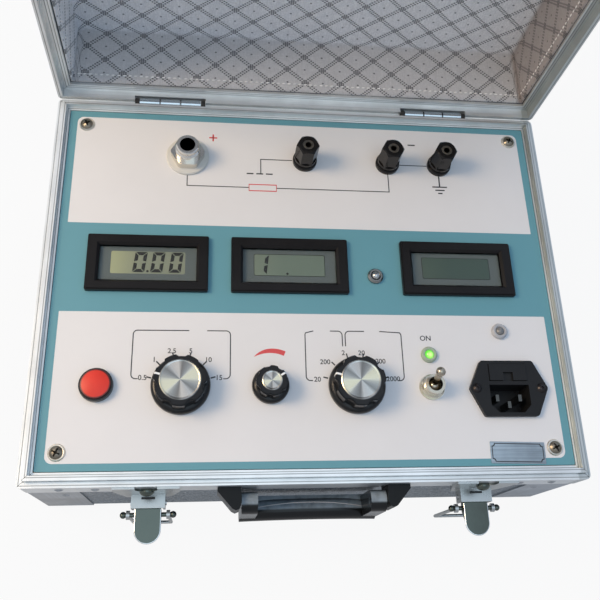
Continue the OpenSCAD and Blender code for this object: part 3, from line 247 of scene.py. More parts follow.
def rim_section(node, across):
    """Extruded rim: streaks along its bars, fine dark lines of painted shade for grooves parallel
    to its outer edge, and painted shade on its right-hand side bar.
    """
    colour = (0.74, 0.755, 0.75)
    made = brushed(node, colour, 0.32, "x", 0.7, 0.006, (across, SIDE_X), 0.86, 2000.0)
    low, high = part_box(node)
    index = "xyz".index(across)
    off_side = made.math("SUBTRACT", high.x, made.absolute(made.x))
    off_middle = made.math("SUBTRACT", getattr(made, across), (low[index] + high[index]) / 2)
    off_end = made.math("SUBTRACT", (high[index] - low[index]) / 2, made.absolute(off_middle))
    inset = made.math("MINIMUM", off_side, off_end)
    # Painted shade: dark lines that stand for the shade in fine grooves along the rim
    lines = []
    for line in RIM_SHADE_LINES:
        off_line = made.absolute(made.math("SUBTRACT", inset, line * MM))
        lines.append(made.near(off_line, 0.14, 0.34, 0.75))
    # Painted shade: the right-hand side bar, beyond SIDE_X, is darkened
    made.stain(made.range(made.x, SIDE_X, SIDE_X + 0.001, 0.0, 0.5), (0.30, 0.33, 0.31))
    made.stain(made.math("MAXIMUM", *lines), shade(colour, 0.2))
    return made


def plated(name, colour, roughness, scratch=0.35):
    """Plated steel: smooth, with faint scratches and hazy patches."""
    made = Shader(name, colour, roughness, 1.0)
    haze = made.noise(120.0, 5.0)
    fine = made.noise(1.0, 2.0, vector=made.stretched((2600.0, 160.0, 900.0), (0.3, 0.2, 0.9)))
    made.tint(haze, shade(colour, 0.86), shade(colour, 1.06))
    made.rough(haze, roughness * 0.6, roughness * 1.6)
    made.bump(fine, 0.004, scratch)
    return made


def cross_screws():
    """Panel screws: dull heads in brighter cup washers, with a dark cross of painted shade for the
    crossed slot.
    """
    made = plated("panel_screws", (0.70, 0.66, 0.58), 0.3)
    right = made.math("SUBTRACT", made.absolute(made.x), PANEL_SCREW[0] * MM)
    back = made.math("SUBTRACT", made.absolute(made.y), PANEL_SCREW[1] * MM)
    radius = made.math("SQRT", made.squares(right, back))
    arms = []
    for turn in (math.radians(25), math.radians(115)):
        off_right = made.math("MULTIPLY", right, math.sin(turn))
        off_back = made.math("MULTIPLY", back, math.cos(turn))
        arms.append(made.near(made.absolute(made.math("ADD", off_right, off_back)), 0.35, 0.6))
    # Painted shade: the crossed slot is a dark cross in the heads' colour
    slot = made.math("MULTIPLY", made.math("MAXIMUM", *arms), made.near(radius, 2.2, 2.6))
    made.stain(made.near(radius, 3.7, 3.9), (0.25, 0.22, 0.175))
    made.stain(slot, (0.02, 0.017, 0.013))
    for side in (-20, 20):
        made.bore(INLET[0] + side, INLET[1], 5.0, (0.045, 0.04, 0.04))
    return made


def hinge_barrels():
    """Plated hinges with dark joints between their knuckles."""
    made = plated("hinge_steel", (0.55, 0.60, 0.63), 0.16, 0.8)
    along = made.absolute(made.math("SUBTRACT", made.absolute(made.x), HINGE_X * MM))
    off_joint = made.absolute(made.math("SUBTRACT", along, KNUCKLE_HALF * MM))
    made.stain(made.near(off_joint, 0.35, 0.6), (0.05, 0.055, 0.06))
    return made


def ring_bezels():
    """Dull chrome rings; those of the two lamps are of pale plastic."""
    made = plated("ring_bezels", (0.26, 0.26, 0.25), 0.22)
    metal = 1.0
    for lamp, pale in ((CHARGE_LAMP, (0.40, 0.40, 0.41)), (POWER_LAMP, (0.34, 0.40, 0.30))):
        around = made.near(made.offset(*lamp)[2], 7.0, 7.5)
        made.stain(around, pale)
        metal = made.math("SUBTRACT", metal, around)
    made.link(metal, "Metallic")
    return made


def moulded(name, colour, roughness, grain=1500.0, depth=0.008, coat=0.0, shine=0.5):
    """Moulded plastic with a fine grain, faint dust and slightly uneven gloss."""
    made = Shader(name, colour, roughness)
    made.set(Coat_Weight=coat, Coat_Roughness=0.08, Specular_IOR_Level=shine)
    cloud = made.noise(70.0, 4.0)
    made.tint(cloud, shade(colour, 0.85), [c * 1.15 + 0.004 for c in colour])
    made.rough(cloud, roughness * 0.8, roughness * 1.25)
    made.bump(made.noise(grain, 2.0), depth)
    return made


def grip_with_painted_sheen():
    """Black grip whose level shelf is painted grey, a painted reflection of the sky on its upward
    faces, most of all towards its ends.
    """
    made = moulded("handle_grip", (0.004, 0.0045, 0.005), 0.2, 900.0, 0.006, 0.0, 0.3)
    upward = made.axes(made.coordinates["Normal"])[2]
    behind = made.range(made.y, -0.1322, -0.1312)
    middle = made.range(made.absolute(made.x), 0.005, 0.032, 0.8, 1.0)
    patches = made.range(made.noise(150.0, 4.0), 0.3, 0.6, 0.55, 1.0)
    # Painted reflection: grey on the upward faces of the shelf behind the bar
    painted_sky_sheen = made.math("MULTIPLY", behind, made.range(upward, 0.3, 0.75), middle, patches)
    made.stain(painted_sky_sheen, (0.24, 0.28, 0.31))
    return made


def red_cap():
    """Red button cap, darker round its edge."""
    made = moulded("button_red", (0.68, 0.032, 0.014), 0.42, 900.0, 0.01, 0.0, 0.4)
    edge = made.range(made.offset(*TEST_BUTTON)[2], 7.3 * MM, 7.9 * MM)
    made.stain(edge, (0.10, 0.02, 0.018))
    return made


def printed(name, colour, roughness=0.5):
    """Screen print: almost flat colour with a slight mottle and orange peel."""
    made = Shader(name, colour, roughness)
    made.set(Specular_IOR_Level=0.35)
    made.tint(made.noise(26.0, 5.0), shade(colour, 0.955), shade(colour, 1.03))
    made.rough(made.noise(90.0, 3.0), roughness * 0.85, roughness * 1.15)
    made.bump(made.noise(1100.0, 2.0), 0.006, 0.5)
    return made


def ink(name, colour):
    """Printed line or figure."""
    made = Shader(name, colour, 0.55)
    made.tint(made.noise(800.0, 2.0), shade(colour, 0.9), [c * 1.1 + 0.006 for c in colour])
    return made


def embossed_sheet():
    """Bluish aluminium sheet with small raised lozenges, a hammered surface and pale specks in its
    colour that are painted glints.
    """
    colour = (0.075, 0.115, 0.16)
    made = Shader("case_sheet", colour, 0.3, 1.0)
    turned = made.stretched((1.0, 1.0, 1.0), (math.radians(45),) * 3)
    lozenge = made.range(made.cells(190.0, 0.25, turned), 0.15, 0.55, 1.0, 0.0)
    sparkle = made.cells(520.0)
    made.tint(made.noise(22.0, 5.0), shade(colour, 0.6), shade(colour, 1.15))
    # Painted glints: pale specks laid over the colour
    made.stain(made.range(made.noise(1250.0, 2.0), 0.62, 0.70), (0.66, 0.78, 0.88))
    made.rough(sparkle, 0.2, 0.42)
    made.bump(made.math("ADD", lozenge, made.math("MULTIPLY", sparkle, 0.5)), 0.16, 0.8)
    return made


def spun(name, x):
    """Turned face of the knob at x: rings of tool marks and anisotropic gloss, with bright, dark
    and warm sectors painted into its colour as painted reflections.
    """
    colour = (0.56, 0.55, 0.52)
    made = Shader(name, colour, 0.24, 1.0)
    made.set(Anisotropic=0.8)
    tangent = made.node("ShaderNodeTangent", direction_type="RADIAL", axis="Z")
    made.link(tangent.outputs["Tangent"], "Tangent")
    right, back, radius = made.offset(x, CONTROL_Y)
    turn = made.math("ARCTAN2", back, right)
    wave = made.math("SINE", made.math("MULTIPLY", turn, 4.0))
    fine = made.math("SINE", made.math("ADD", made.math("MULTIPLY", turn, 2.0), 0.9))
    # Painted reflections: bright and dark sectors round the knob's axis, some of them warm
    wide = made.range(wave, -0.5, 0.5, 0.0, 0.6)
    painted_gleam = made.math("ADD", wide, made.range(fine, -0.7, 0.7, 0.0, 0.4))
    made.tint(painted_gleam, shade(colour, 0.34), shade(colour, 1.3))
    painted_warm_gleam = made.math("MULTIPLY", painted_gleam, made.range(fine, 0.1, 0.8, 0.0, 0.75))
    made.stain(painted_warm_gleam, (0.72, 0.64, 0.42))
    ring = made.node("ShaderNodeCombineXYZ", {"X": made.math("MULTIPLY", radius, 5200.0)})
    made.bump(made.noise(1.0, 1.0, vector=ring.outputs[0]), 0.005, 0.6)
    return made


def clear(name, colour, alpha):
    """Thin clear window with a glossy face."""
    made = Shader(name, colour, 0.06)
    made.set(Alpha=alpha, Specular_IOR_Level=0.6)
    made.rough(made.noise(60.0, 3.0), 0.03, 0.1)
    return made


def lcd_area(side, left, right):
    """Reading area of a meter, paler towards its left edge: painted light falling from the left."""
    made = Shader("lcd_" + side, right, 0.28)
    middle = METERS[side]
    made.tint(made.range(made.x, (middle - 22) * MM, (middle - 4) * MM), left, right)
    return made


def lens(name, colour, glow=0.0):
    """Domed plastic lens, lit from inside where glow is above zero."""
    made = Shader(name, colour, 0.18)
    made.set(Coat_Weight=0.6, Emission_Color=(*colour, 1.0), Emission_Strength=glow)
    made.tint(made.noise(900.0, 2.0), shade(colour, 0.85), shade(colour, 1.2))
    return made


def lit_lens():
    """Green lens of the burning lamp, brightest a little in front of its middle."""
    made = lens("lamp_green", (0.10, 0.62, 0.05), 0.95)
    x, y = POWER_LAMP
    core = made.near(made.offset(x + 0.2, y - 0.6)[2], 0.5, 2.5)
    made.link(made.mix(core, (0.08, 0.36, 0.02), (0.70, 1.0, 0.30)), "Emission Color")
    return made


def lining_cloth():
    """Grey woven cloth whose lattice of double dotted lines wraps from the back to the walls, with
    painted shade on the lower end wall and painted light on the right-hand wall.
    """
    ground = (0.92, 0.90, 0.89)
    made = Shader("lining_cloth", ground, 0.88)
    made.set(Sheen_Weight=0.3, Sheen_Roughness=0.45)
    depth = made.math("SUBTRACT", LINING_BACK, made.y)
    high = made.math("SUBTRACT", made.z, LINING_MID)
    wrapped = []
    for place, wall, period in ((made.x, LINING_X, 24.0), (high, LINING_Z, 21.0)):
        size = made.absolute(place)
        on_wall = made.range(size, wall - 0.005, wall - 0.002)
        run = made.math("ADD", size, made.math("MULTIPLY", on_wall, depth))
        wrapped.append((on_wall, made.math("DIVIDE", run, period * MM)))
    (on_side, u), (on_end, v) = wrapped
    first = made.math("ADD", u, v)
    second = made.math("SUBTRACT", u, v)
    marks, centres = [], []
    for a, b in ((first, second), (second, first)):
        near = made.math("PINGPONG", a, 0.5)
        run = made.math("PINGPONG", made.math("MULTIPLY", b, 9.0), 0.5)
        off_row = made.math("DIVIDE", made.math("SUBTRACT", near, 0.055), 0.034)
        off_dot = made.math("DIVIDE", run, 0.3)
        marks.append(made.range(made.squares(off_row, off_dot), 0.9, 1.9, 1.0, 0.0))
        centres.append(made.math("SUBTRACT", 0.5, near))
    marks.append(made.range(made.squares(*centres), 0.0010, 0.0024, 0.95, 0.0))
    marks = made.math("MAXIMUM", *marks)
    warp = made.noise(1.0, 1.0, vector=made.stretched((2300.0, 420.0, 420.0)))
    weft = made.noise(1.0, 1.0, vector=made.stretched((420.0, 2300.0, 2300.0)))
    weave = made.math("MULTIPLY", warp, weft)
    streak = made.noise(1.0, 3.0, vector=made.stretched((900.0, 60.0, 60.0)))
    woven = made.range(weave, 0.08, 0.42, 0.0, 0.7)
    tone = made.math("ADD", woven, made.range(streak, 0.3, 0.7, 0.0, 0.3))
    # Painted shade on the lower end wall
    painted_shade_low_wall = made.math("MULTIPLY", on_end, made.math("LESS_THAN", high, 0.0), 0.5)
    # Painted light: the right-hand wall is stained darker and browner
    painted_light_right_wall = made.math("MULTIPLY", on_side, made.math("GREATER_THAN", made.x, 0.0), 0.75)
    frayed = made.math("MULTIPLY", marks, made.range(weave, 0.02, 0.2, 1.0, 0.75))
    made.tint(tone, shade(ground, 0.72), shade(ground, 1.09))
    made.stain(painted_shade_low_wall, (0.30, 0.265, 0.245))
    made.stain(painted_light_right_wall, (0.21, 0.155, 0.13))
    made.stain(frayed, (0.022, 0.022, 0.025))
    made.bump(made.math("ADD", weave, made.math("MULTIPLY", marks, -0.5)), 0.14)
    return made


# Colour, roughness and strength of the scratches
PLATED = {
    "pin_steel": ((0.5, 0.51, 0.53), 0.2),
    "latch_chrome": ((0.46, 0.475, 0.47), 0.28, 0.6),
    "lever_chrome": ((0.10, 0.115, 0.10), 0.14, 0.3),
    "edge_highlight_chrome": ((0.85, 0.87, 0.87), 0.14),
    "stem_brass": ((0.20, 0.175, 0.14), 0.3),
    "ring_chrome": ((0.46, 0.46, 0.45), 0.18),
    "toggle_nickel": ((0.62, 0.57, 0.47), 0.18),
    "toggle_lever": ((0.40, 0.35, 0.28), 0.16),
    "spring_steel": ((0.6, 0.6, 0.6), 0.2),
    "blade_nickel": ((0.12, 0.12, 0.11), 0.2),
    "hv_socket": ((0.72, 0.69, 0.64), 0.16, 0.5),
}

# Colour, roughness, scale and depth of the grain, weight of the clear coat and shine
MOULDED = {
    "rubber_foot": ((0.02, 0.02, 0.02), 0.8, 700.0, 0.03),
    "handle_brackets": ((0.004, 0.0045, 0.005), 0.3, 900.0, 0.01, 0.0, 0.16),
    "block_wood": ((0.5, 0.38, 0.22), 0.7, 300.0, 0.1),
    "hv_insulators": ((0.62, 0.60, 0.55), 0.4, 900.0, 0.01, 0.1),
    "post_plastic": ((0.005, 0.004, 0.0035), 0.16, 700.0, 0.004, 0.08, 0.22),
    "meter_plastic": ((0.006, 0.005, 0.005), 0.30, 1700.0, 0.012, 0.0, 0.20),
    "circuit_board": ((0.03, 0.14, 0.07), 0.4),
    "switch_plastic": ((0.06, 0.06, 0.07), 0.5),
    "ring_black": ((0.015, 0.015, 0.015), 0.3),
    "inlet_plastic": ((0.008, 0.008, 0.0085), 0.38, 1300.0, 0.015, 0.0, 0.24),
    "module_plastic": ((0.06, 0.07, 0.09), 0.5),
    "knob_plastic": ((0.005, 0.005, 0.0055), 0.22, 900.0, 0.006, 0.08, 0.26),
    "thread": ((0.90, 0.86, 0.82), 0.8, 2600.0, 0.05),
}

INKS = {
    "ink_black": (0.02, 0.02, 0.022),
    "ink_red": (0.62, 0.07, 0.07),
    "mark_white": (0.85, 0.85, 0.82),
    "lcd_segment": (0.008, 0.010, 0.010),
    "slot_shadow": (0.012, 0.013, 0.015),
    # Pale parting line of the grip: painted highlight
    "seam_highlight": (0.62, 0.58, 0.55),
}

LOOKS = [
    *(plated(name, *look) for name, look in PLATED.items()),
    *(moulded(name, *look) for name, look in MOULDED.items()),
    *(ink(name, colour) for name, colour in INKS.items()),
    embossed_sheet(),
    brushed("corner_angle", (0.40, 0.43, 0.465), 0.36, "z"),
    brushed("plate_foil", (0.36, 0.415, 0.455), 0.34, "x", 0.85, 0.004),
    rim_section("base_rim", "y"),
    rim_section("lid_rim", "z"),
    hinge_barrels(),
    cross_screws(),
    grip_with_painted_sheen(),
    ring_bezels(),
    red_cap(),
    lit_lens(),
    lens("lamp_grey", (0.17, 0.165, 0.16)),
    clear("meter_window", (0.02, 0.025, 0.025), 0.05),
    clear("fuse_glass", (0.8, 0.82, 0.84), 0.5),
    printed("panel_paint", (0.125, 0.31, 0.36)),
    printed("block_paint", (0.74, 0.72, 0.705)),
    printed("lcd_surround", (0.125, 0.15, 0.145), 0.3),
    # Painted light: the reading areas are paler in the meters further left
    lcd_area("left", (0.42, 0.44, 0.25), (0.26, 0.285, 0.20)),
    lcd_area("middle", (0.20, 0.245, 0.18), (0.16, 0.21, 0.16)),
    lcd_area("right", (0.075, 0.11, 0.08), (0.055, 0.09, 0.07)),
    spun("voltage_spindle", VOLTAGE_X),
    spun("adjust_spindle", ADJUST_X),
    spun("resistance_spindle", OHMS_X),
    lining_cloth(),
]
SHADERS = {made.name: made for made in LOOKS}
# Painted shade: the inside of the socket's bore is darkened
for socket_part in ("hv_socket", "hv_insulators"):
    SHADERS[socket_part].bore(*SOCKET, 4.75, (0.02, 0.012, 0.008))


def dress_nodes():
    """Gives every CAD node the material of its own name, or else of its slot."""
    for row in frame["record"]["subparts"]:
        made = SHADERS.get(row["node"]) or SHADERS[row["material_slot"]]
        mesh = NODES[row["node"]].data
        mesh.materials.clear()
        mesh.materials.append(made.material)


def keep(name, mesh, material, body):
    """Puts a finished mesh, already in the row frame, into the scene."""
    piece = bpy.data.objects.new(name, mesh)
    bpy.context.scene.collection.objects.link(piece)
    mesh.materials.clear()
    mesh.materials.append(SHADERS[material].material)
    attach(piece, body)
    return piece


def mesh_of(build, name, smooth=False):
    """Mesh of a bmesh, which is then freed."""
    mesh = bpy.data.meshes.new(name)
    build.to_mesh(mesh)
    build.free()
    if smooth:
        mesh.polygons.foreach_set("use_smooth", [True] * len(mesh.polygons))
    return mesh


def joined(name, meshes):
    """One mesh of several."""
    build = bmesh.new()
    for mesh in meshes:
        build.from_mesh(mesh)
        bpy.data.meshes.remove(mesh)
    return mesh_of(build, name)


def loft(build, rings):
    """Closed skin through rings with as many points each."""
    rings = [[build.verts.new(point) for point in ring] for ring in rings]
    for first, second in zip(rings, rings[1:]):
        for n, vert in enumerate(first):
            m = (n + 1) % len(first)
            build.faces.new((vert, first[m], second[m], second[n]))
    build.faces.new(rings[0])
    build.faces.new(rings[-1])
    bmesh.ops.recalc_face_normals(build, faces=build.faces)


def curve_mesh(name, curve):
    """Mesh of a curve, which is then deleted."""
    carrier = bpy.data.objects.new(name, curve)
    bpy.context.scene.collection.objects.link(carrier)
    graph = bpy.context.evaluated_depsgraph_get()
    mesh = bpy.data.meshes.new_from_object(carrier.evaluated_get(graph))
    bpy.data.objects.remove(carrier)
    bpy.data.curves.remove(curve)
    mesh.name = name
    return mesh


def flat_mesh(name, loops, thickness):
    """Thin slab between closed outlines; an outline inside another cuts a hole."""
    curve = bpy.data.curves.new(name, "CURVE")
    curve.dimensions = "2D"
    curve.fill_mode = "BOTH"
    curve.extrude = thickness / 2
    for loop in loops:
        spline = curve.splines.new("POLY")
        spline.points.add(len(loop) - 1)
        for point, (x, y) in zip(spline.points, loop):
            point.co = (x, y, 0, 1)
        spline.use_cyclic_u = True
    return curve_mesh(name, curve)


def wire(name, path, radius, material, body):
    """Round wire along a path given in millimetres of the part's frame."""
    curve = bpy.data.curves.new(name, "CURVE")
    curve.dimensions = "3D"
    curve.bevel_depth = radius * MM
    curve.bevel_resolution = 3
    curve.use_fill_caps = True
    spline = curve.splines.new("POLY")
    spline.points.add(len(path) - 1)
    for point, place in zip(spline.points, path):
        point.co = (*(c * MM for c in place), 1)
    keep(name, curve_mesh(name, curve), material, body)


def on_panel(mesh, low_mm=0.0, x=0.0, y=0.0):
    """Lays a mesh drawn in millimetres on the panel, its underside low_mm above the face."""
    least = min(v.co.z for v in mesh.vertices)
    place = Matrix.Translation((x * MM, y * MM, PANEL_Z + low_mm * MM))
    mesh.transform(place @ Matrix.Scale(MM, 4) @ Matrix.Translation((0, 0, -least)))
    return mesh


def print_panel(name, meshes, material, low_mm=INK):
    """Prints meshes drawn in millimetres on the panel as one piece."""
    keep(name, on_panel(joined(name, meshes), low_mm), material, "base")


def spot(x, y, radius, degrees):
    """Point at a radius and an angle from (x, y)."""
    angle = math.radians(degrees)
    return x + radius * math.cos(angle), y + radius * math.sin(angle)


def arc(x, y, radius, start, end, steps=24):
    """Points on an arc, angles in degrees."""
    return [spot(x, y, radius, start + (end - start) * i / steps) for i in range(steps + 1)]


def circle(x, y, radius, steps=64):
    return arc(x, y, radius, 0, 360 * (steps - 1) / steps, steps - 1)


def rectangle(x, y, wide, high):
    """Corners of a rectangle centred at (x, y)."""
    return [(x + wide * i / 2, y + high * j / 2) for i, j in ((-1, -1), (1, -1), (1, 1), (-1, 1))]


def rounded(x0, y0, x1, y1, radii):
    """Rectangle with a radius for each corner: lower left, lower right, upper right, upper left."""
    a, b, c, d = radii
    return (
        arc(x0 + a, y0 + a, a, 180, 270, 8) + arc(x1 - b, y0 + b, b, 270, 360, 8)
        + arc(x1 - c, y1 - c, c, 0, 90, 8) + arc(x0 + d, y1 - d, d, 90, 180, 8)
    )


def plate(x, y, wide, high, radius):
    """Rectangle centred at (x, y) with four equal radii."""
    return rounded(x - wide / 2, y - high / 2, x + wide / 2, y + high / 2, (radius,) * 4)


def stroke(points, width):
    """Outline of a line of constant width through the points, with mitred corners."""
    sides = ([], [])
    for i, point in enumerate(points):
        here = Vector(point)
        before = (here - Vector(points[i - 1])).normalized() if i else None
        after = (Vector(points[i + 1]) - here).normalized() if i < len(points) - 1 else None
        before = before or after
        after = after or before
        normal = Vector((-before.y - after.y, before.x + after.x)).normalized()
        reach = width / 2 / max(0.3, normal.dot(Vector((-before.y, before.x))))
        sides[0].append(tuple(here + normal * reach))
        sides[1].append(tuple(here - normal * reach))
    return sides[0] + sides[1][::-1]


def line_meshes(lines, short_w):
    """Printed lines; a straight one of less than 11 mm has the width short_w."""
    meshes = []
    for line in lines:
        short = len(line) == 2 and math.dist(*line) < 11
        meshes.append(flat_mesh("line", [stroke(line, short_w if short else LINE_W)], INK))
    return meshes


def printed_blocks():
    """Two pale fields of the panel print, cut away where the panel's openings are."""
    upper = [rounded(-BLOCK_X, BAND_HIGH, BLOCK_X, 109.8, (0.4, 0.4, 4, 4)), circle(*SOCKET, 8.2)]
    lower = [
        rounded(-BLOCK_X, -110, BLOCK_X, BAND_LOW, (4, 4, 0.4, 0.4)),
        rectangle(*INLET, 27.4, 32.0),
        circle(*TEST_BUTTON, 8.4),
        circle(TOGGLE_X, CONTROL_Y - 0.9, 6.1),
    ]
    for name, loops in (("print_upper", upper), ("print_lower", lower)):
        print_panel(name, [flat_mesh(name, loops, INK)], "block_paint", 0.0)


def circuit_lines():
    """Circuit diagram between the sockets, with its signs."""
    rail, earth_x, plus = 62.0, 88.9, (-60.6, 97.9)
    lines = [
        [(SOCKET[0], 70.1), (SOCKET[0], rail), (-37.5, rail)],
        [(-19.5, rail), (54.3, rail), (54.3, 75.6)],
        [(-9.2, 83.0), (-29.7, 83.0), (-29.7, 72.5)],
        [(62.8, 82.5), (81.3, 82.5)],
        [(earth_x, 74.8), (earth_x, 67.0)],
        [(69.7, 98.4), (74.7, 98.4)],
    ]
    for start in (-38.8, -32.6, -26.4):
        lines.append([(start, 72.2), (start + 4.4, 72.2)])
    for y, half in ((66.9, 5.0), (64.5, 3.2), (62.2, 1.5)):
        lines.append([(earth_x - half, y), (earth_x + half, y)])
    print_panel("circuit_lines", line_meshes(lines, SIGN_W), "ink_black")
    resistor = [rectangle(-28.5, rail, 18.0, 5.2), rectangle(-28.5, rail, 17.1, 3.848)]
    signs = [resistor, [rectangle(*plus, 5.2, 1.0)], [rectangle(*plus, 1.0, 5.2)]]
    print_panel("circuit_signs", [flat_mesh("sign", loops, INK) for loops in signs], "ink_red")


def bracket(left, right, top, left_low, right_low, hooks=(0, 0), radius=2.5):
    """Line over a group of figures, turned down at both ends and inwards where a hook is given."""
    points = [(left, left_low)]
    if hooks[0]:
        points = [(left + radius + hooks[0], left_low)]
        points += arc(left + radius, left_low + radius, radius, 270, 180, 6)
    points += arc(left + radius, top - radius, radius, 180, 90, 6)
    points += arc(right - radius, top - radius, radius, 90, 0, 6)
    if hooks[1]:
        points += arc(right - radius, right_low + radius, radius, 0, -90, 6)
        return points + [(right - radius - hooks[1], right_low)]
    return points + [(right, right_low)]


def gapped(points, top, start, end):
    """The two parts of a bracket whose top line stops between start and end."""
    half = len(points) // 2
    first = [p for p in points[:half] if p[0] < start] + [(start, top)]
    last = [(end, top)] + [p for p in points[half:] if p[0] > end]
    return [first, last]


def dial_marks():
    """Brackets, ticks and the red taper round the rotary controls."""
    high, low = -33.9, -64.2
    whole = bracket(-104.3, -48.3, -34.4, -63.2, -63.2, (1.4, 1.4))
    left = bracket(-4.2, 18.2, high, low, -43.3, (1.4, 0))
    right = bracket(20.0, 54.3, high, -43.3, low, (0, 1.4))
    lines = gapped(whole, -34.4, -72.3, -61.9) + gapped(left, high, 0.9, 10.9)
    lines += gapped(right, high, 31.7, 41.1)
    for centre in (VOLTAGE_X, OHMS_X):
        for angle in range(15, 166, 30):
            lines.append([spot(centre, CONTROL_Y, radius, angle) for radius in (17.4, 20.2)])
    print_panel("dial_marks", line_meshes(lines, TICK_W), "ink_black")
    radius, wide, steps = 19.6, 2.9, 24
    inner = arc(ADJUST_X, CONTROL_Y, radius, 119, 66, steps)
    outer = []
    for i in range(steps + 1):
        reach = radius + wide * (1 - (1 - i / steps) ** 3)
        outer.append(spot(ADJUST_X, CONTROL_Y, reach, 119 - 53 * i / steps))
    taper = flat_mesh("adjust_taper", [outer + inner[:0:-1]], INK)
    print_panel("adjust_taper", [taper], "ink_red")


def figure_mesh(text, height, x, y):
    """Figures of the given height, centred at (x, y), in millimetres."""
    half_depth = 0.001
    font = bpy.data.curves.new("figures", "FONT")
    font.body = text
    font.size = 1.0
    font.extrude = half_depth
    font.offset = 0.012
    font.resolution_u = 4
    mesh = curve_mesh("figures", font)
    xs = [v.co.x for v in mesh.vertices]
    ys = [v.co.y for v in mesh.vertices]
    zoom = height / (max(ys) - min(ys))
    centred = Matrix.Translation((-(max(xs) + min(xs)) / 2, -(max(ys) + min(ys)) / 2, 0))
    sized = Matrix.Diagonal((zoom, zoom, INK / (2 * half_depth), 1))
    mesh.transform(Matrix.Translation((x, y, 0)) @ sized @ centred)
    return mesh


def dial_figures():
    """Numbers round the two selectors, and the switch's on mark."""
    places = [
        ("0.5", -97.9, -62.5), ("1", -91.7, -51.9), ("2.5", -81.9, -46.7), ("5", -71.1, -46.7),
        ("10", -60.6, -51.9), ("15", -54.4, -62.5), ("20", 2.4, -63.4), ("200", 7.3, -52.9),
        ("2", 18.4, -47.3), ("20", 29.4, -47.3), ("200", 40.6, -52.4), ("2000", 47.6, -63.1),
    ]
    meshes = [figure_mesh(text, 3.0, x, y) for text, x, y in places]
    meshes.append(figure_mesh("ON", 3.2, 69.3, -37.9))
    print_panel("dial_figures", meshes, "ink_black")


SEGMENTS = {"0": "abcdef", "1": "bc"}


def segment_figure(figure, x, y):
    """Loops of a seven-segment figure whose lower left corner is at (x, y)."""
    wide, high, bar, gap, lean = 7.2, 13.2, 2.1, 0.3, 0.12
    half = high / 2
    inset, under = wide - bar, high - bar - gap
    upper = {
        "a": [(gap, high), (wide - gap, high), (inset - gap, high - bar), (bar + gap, high - bar)],
        "f": [(0, high - gap), (bar, under), (bar, half + bar / 2), (0, half + gap)],
        "b": [(wide, high - gap), (inset, under), (inset, half + bar / 2), (wide, half + gap)],
    }
    mirrored = {"d": "a", "e": "f", "c": "b"}
    loops = []
    for name in SEGMENTS[figure]:
        shape = upper.get(name) or [(px, high - py) for px, py in upper[mirrored[name]]]
        loops.append([(x + px + lean * py, y + py) for px, py in shape])
    return loops


def meter_displays():
    """Surround, reading area and figures behind each meter's window, and a thin outline of painted
    shade round the middle and right reading areas.
    """
    wide, high = 44.1, 14.5
    digits = {"left": (("0", 12.8), ("0", 23.4), ("0", 34.3)), "middle": (("1", 0.6),), "right": ()}
    points = {"left": 21.9, "middle": 20.6}
    sheets, figures = [], []
    for name, middle in METERS.items():
        sheets.append(flat_mesh("sheet", [plate(middle, METER_Y, 57.6, 22.5, 0.5)], 0.2))
        x, y = middle - 0.05, METER_Y + 1.0
        left, low = x - wide / 2, y - high / 2
        outline = plate(x, y, wide, high, 1.1)
        area = on_panel(flat_mesh("area", [outline], 0.1), -0.42)
        keep("lcd_area_" + name, area, "lcd_" + name, "base")
        # Painted shade: a thin dark outline stands for the bezel's shade on the reading area
        if name != "left":
            inside = plate(x, y, wide - 0.6, high - 0.6, 0.9)
            figures.append(flat_mesh("edge", [outline, inside], 0.05))
        loops = []
        for figure, along in digits[name]:
            loops += segment_figure(figure, left + along, low + 0.9)
        if name in points:
            loops.append(circle(left + points[name], low + 1.6, 0.75, 16))
        figures += [flat_mesh("segment", [loop], 0.05) for loop in loops]
    for name, meshes, low, material in (("lcd_surrounds", sheets, -0.65, "lcd_surround"),
                                        ("lcd_figures", figures, -0.3, "lcd_segment")):
        keep(name, on_panel(joined(name, meshes), low), material, "base")


def pointers():
    """White line on the pointer lobe of each knob, over its top and down its side."""
    half, thick, lean, proud = 0.55, 0.25, 0.15, 0.05
    for name, body, x, disc, lobe, top, turn in (
        ("voltage_pointer", "voltage_selector", VOLTAGE_X, 11.6, 14.75, 14.5, SELECTOR_TURN),
        ("resistance_pointer", "resistance_selector", OHMS_X, 11.6, 14.75, 14.5, SELECTOR_TURN),
        ("adjust_pointer", "voltage_adjuster", ADJUST_X, 5.9, 8.85, 13.0, ADJUST_TURN),
    ):
        path = [(disc, top + proud), (lobe - 0.62, top + proud)]
        path += [(lobe + proud, top - 0.9), (lobe + proud, top - 7.0)]
        rings = []
        for r, z in path:
            inner, low = r - lean, z - thick
            rings.append([(r, -half, z), (r, half, z), (inner, half, low), (inner, -half, low)])
        build = bmesh.new()
        loft(build, rings)
        mesh = mesh_of(build, name)
        turned = Matrix.Rotation(math.radians(turn), 4, "Z") @ Matrix.Scale(MM, 4)
        mesh.transform(Matrix.Translation((x * MM, CONTROL_Y * MM, PANEL_Z)) @ turned)
        keep(name, mesh, "mark_white", body)


def data_plate():
    """Bare foil plate by the inlet, with a dark border whose corners are notched inwards."""
    wide, high, notch, thick = 33.0, 12.5, 1.6, 0.3

    def notched(inset):
        a, b = wide / 2 - inset, high / 2 - inset
        loop = []
        for cx, cy, start in ((a, -b, 180), (a, b, 270), (-a, b, 0), (-a, -b, 90)):
            loop += arc(cx, cy, notch, start, start - 90, 6)
        return loop

    for name, loops, depth, low, material in (
        ("data_plate", [plate(0, 0, wide, high, 0.5)], thick, INK, "plate_foil"),
        ("data_plate_border", [notched(0.9), notched(1.4)], INK, thick + INK, "ink_black"),
    ):
        mesh = flat_mesh(name, loops, depth)
        mesh.transform(Matrix.Rotation(math.radians(-1.5), 4, "Z"))
        keep(name, on_panel(mesh, low, 118.2, -106.9), material, "base")


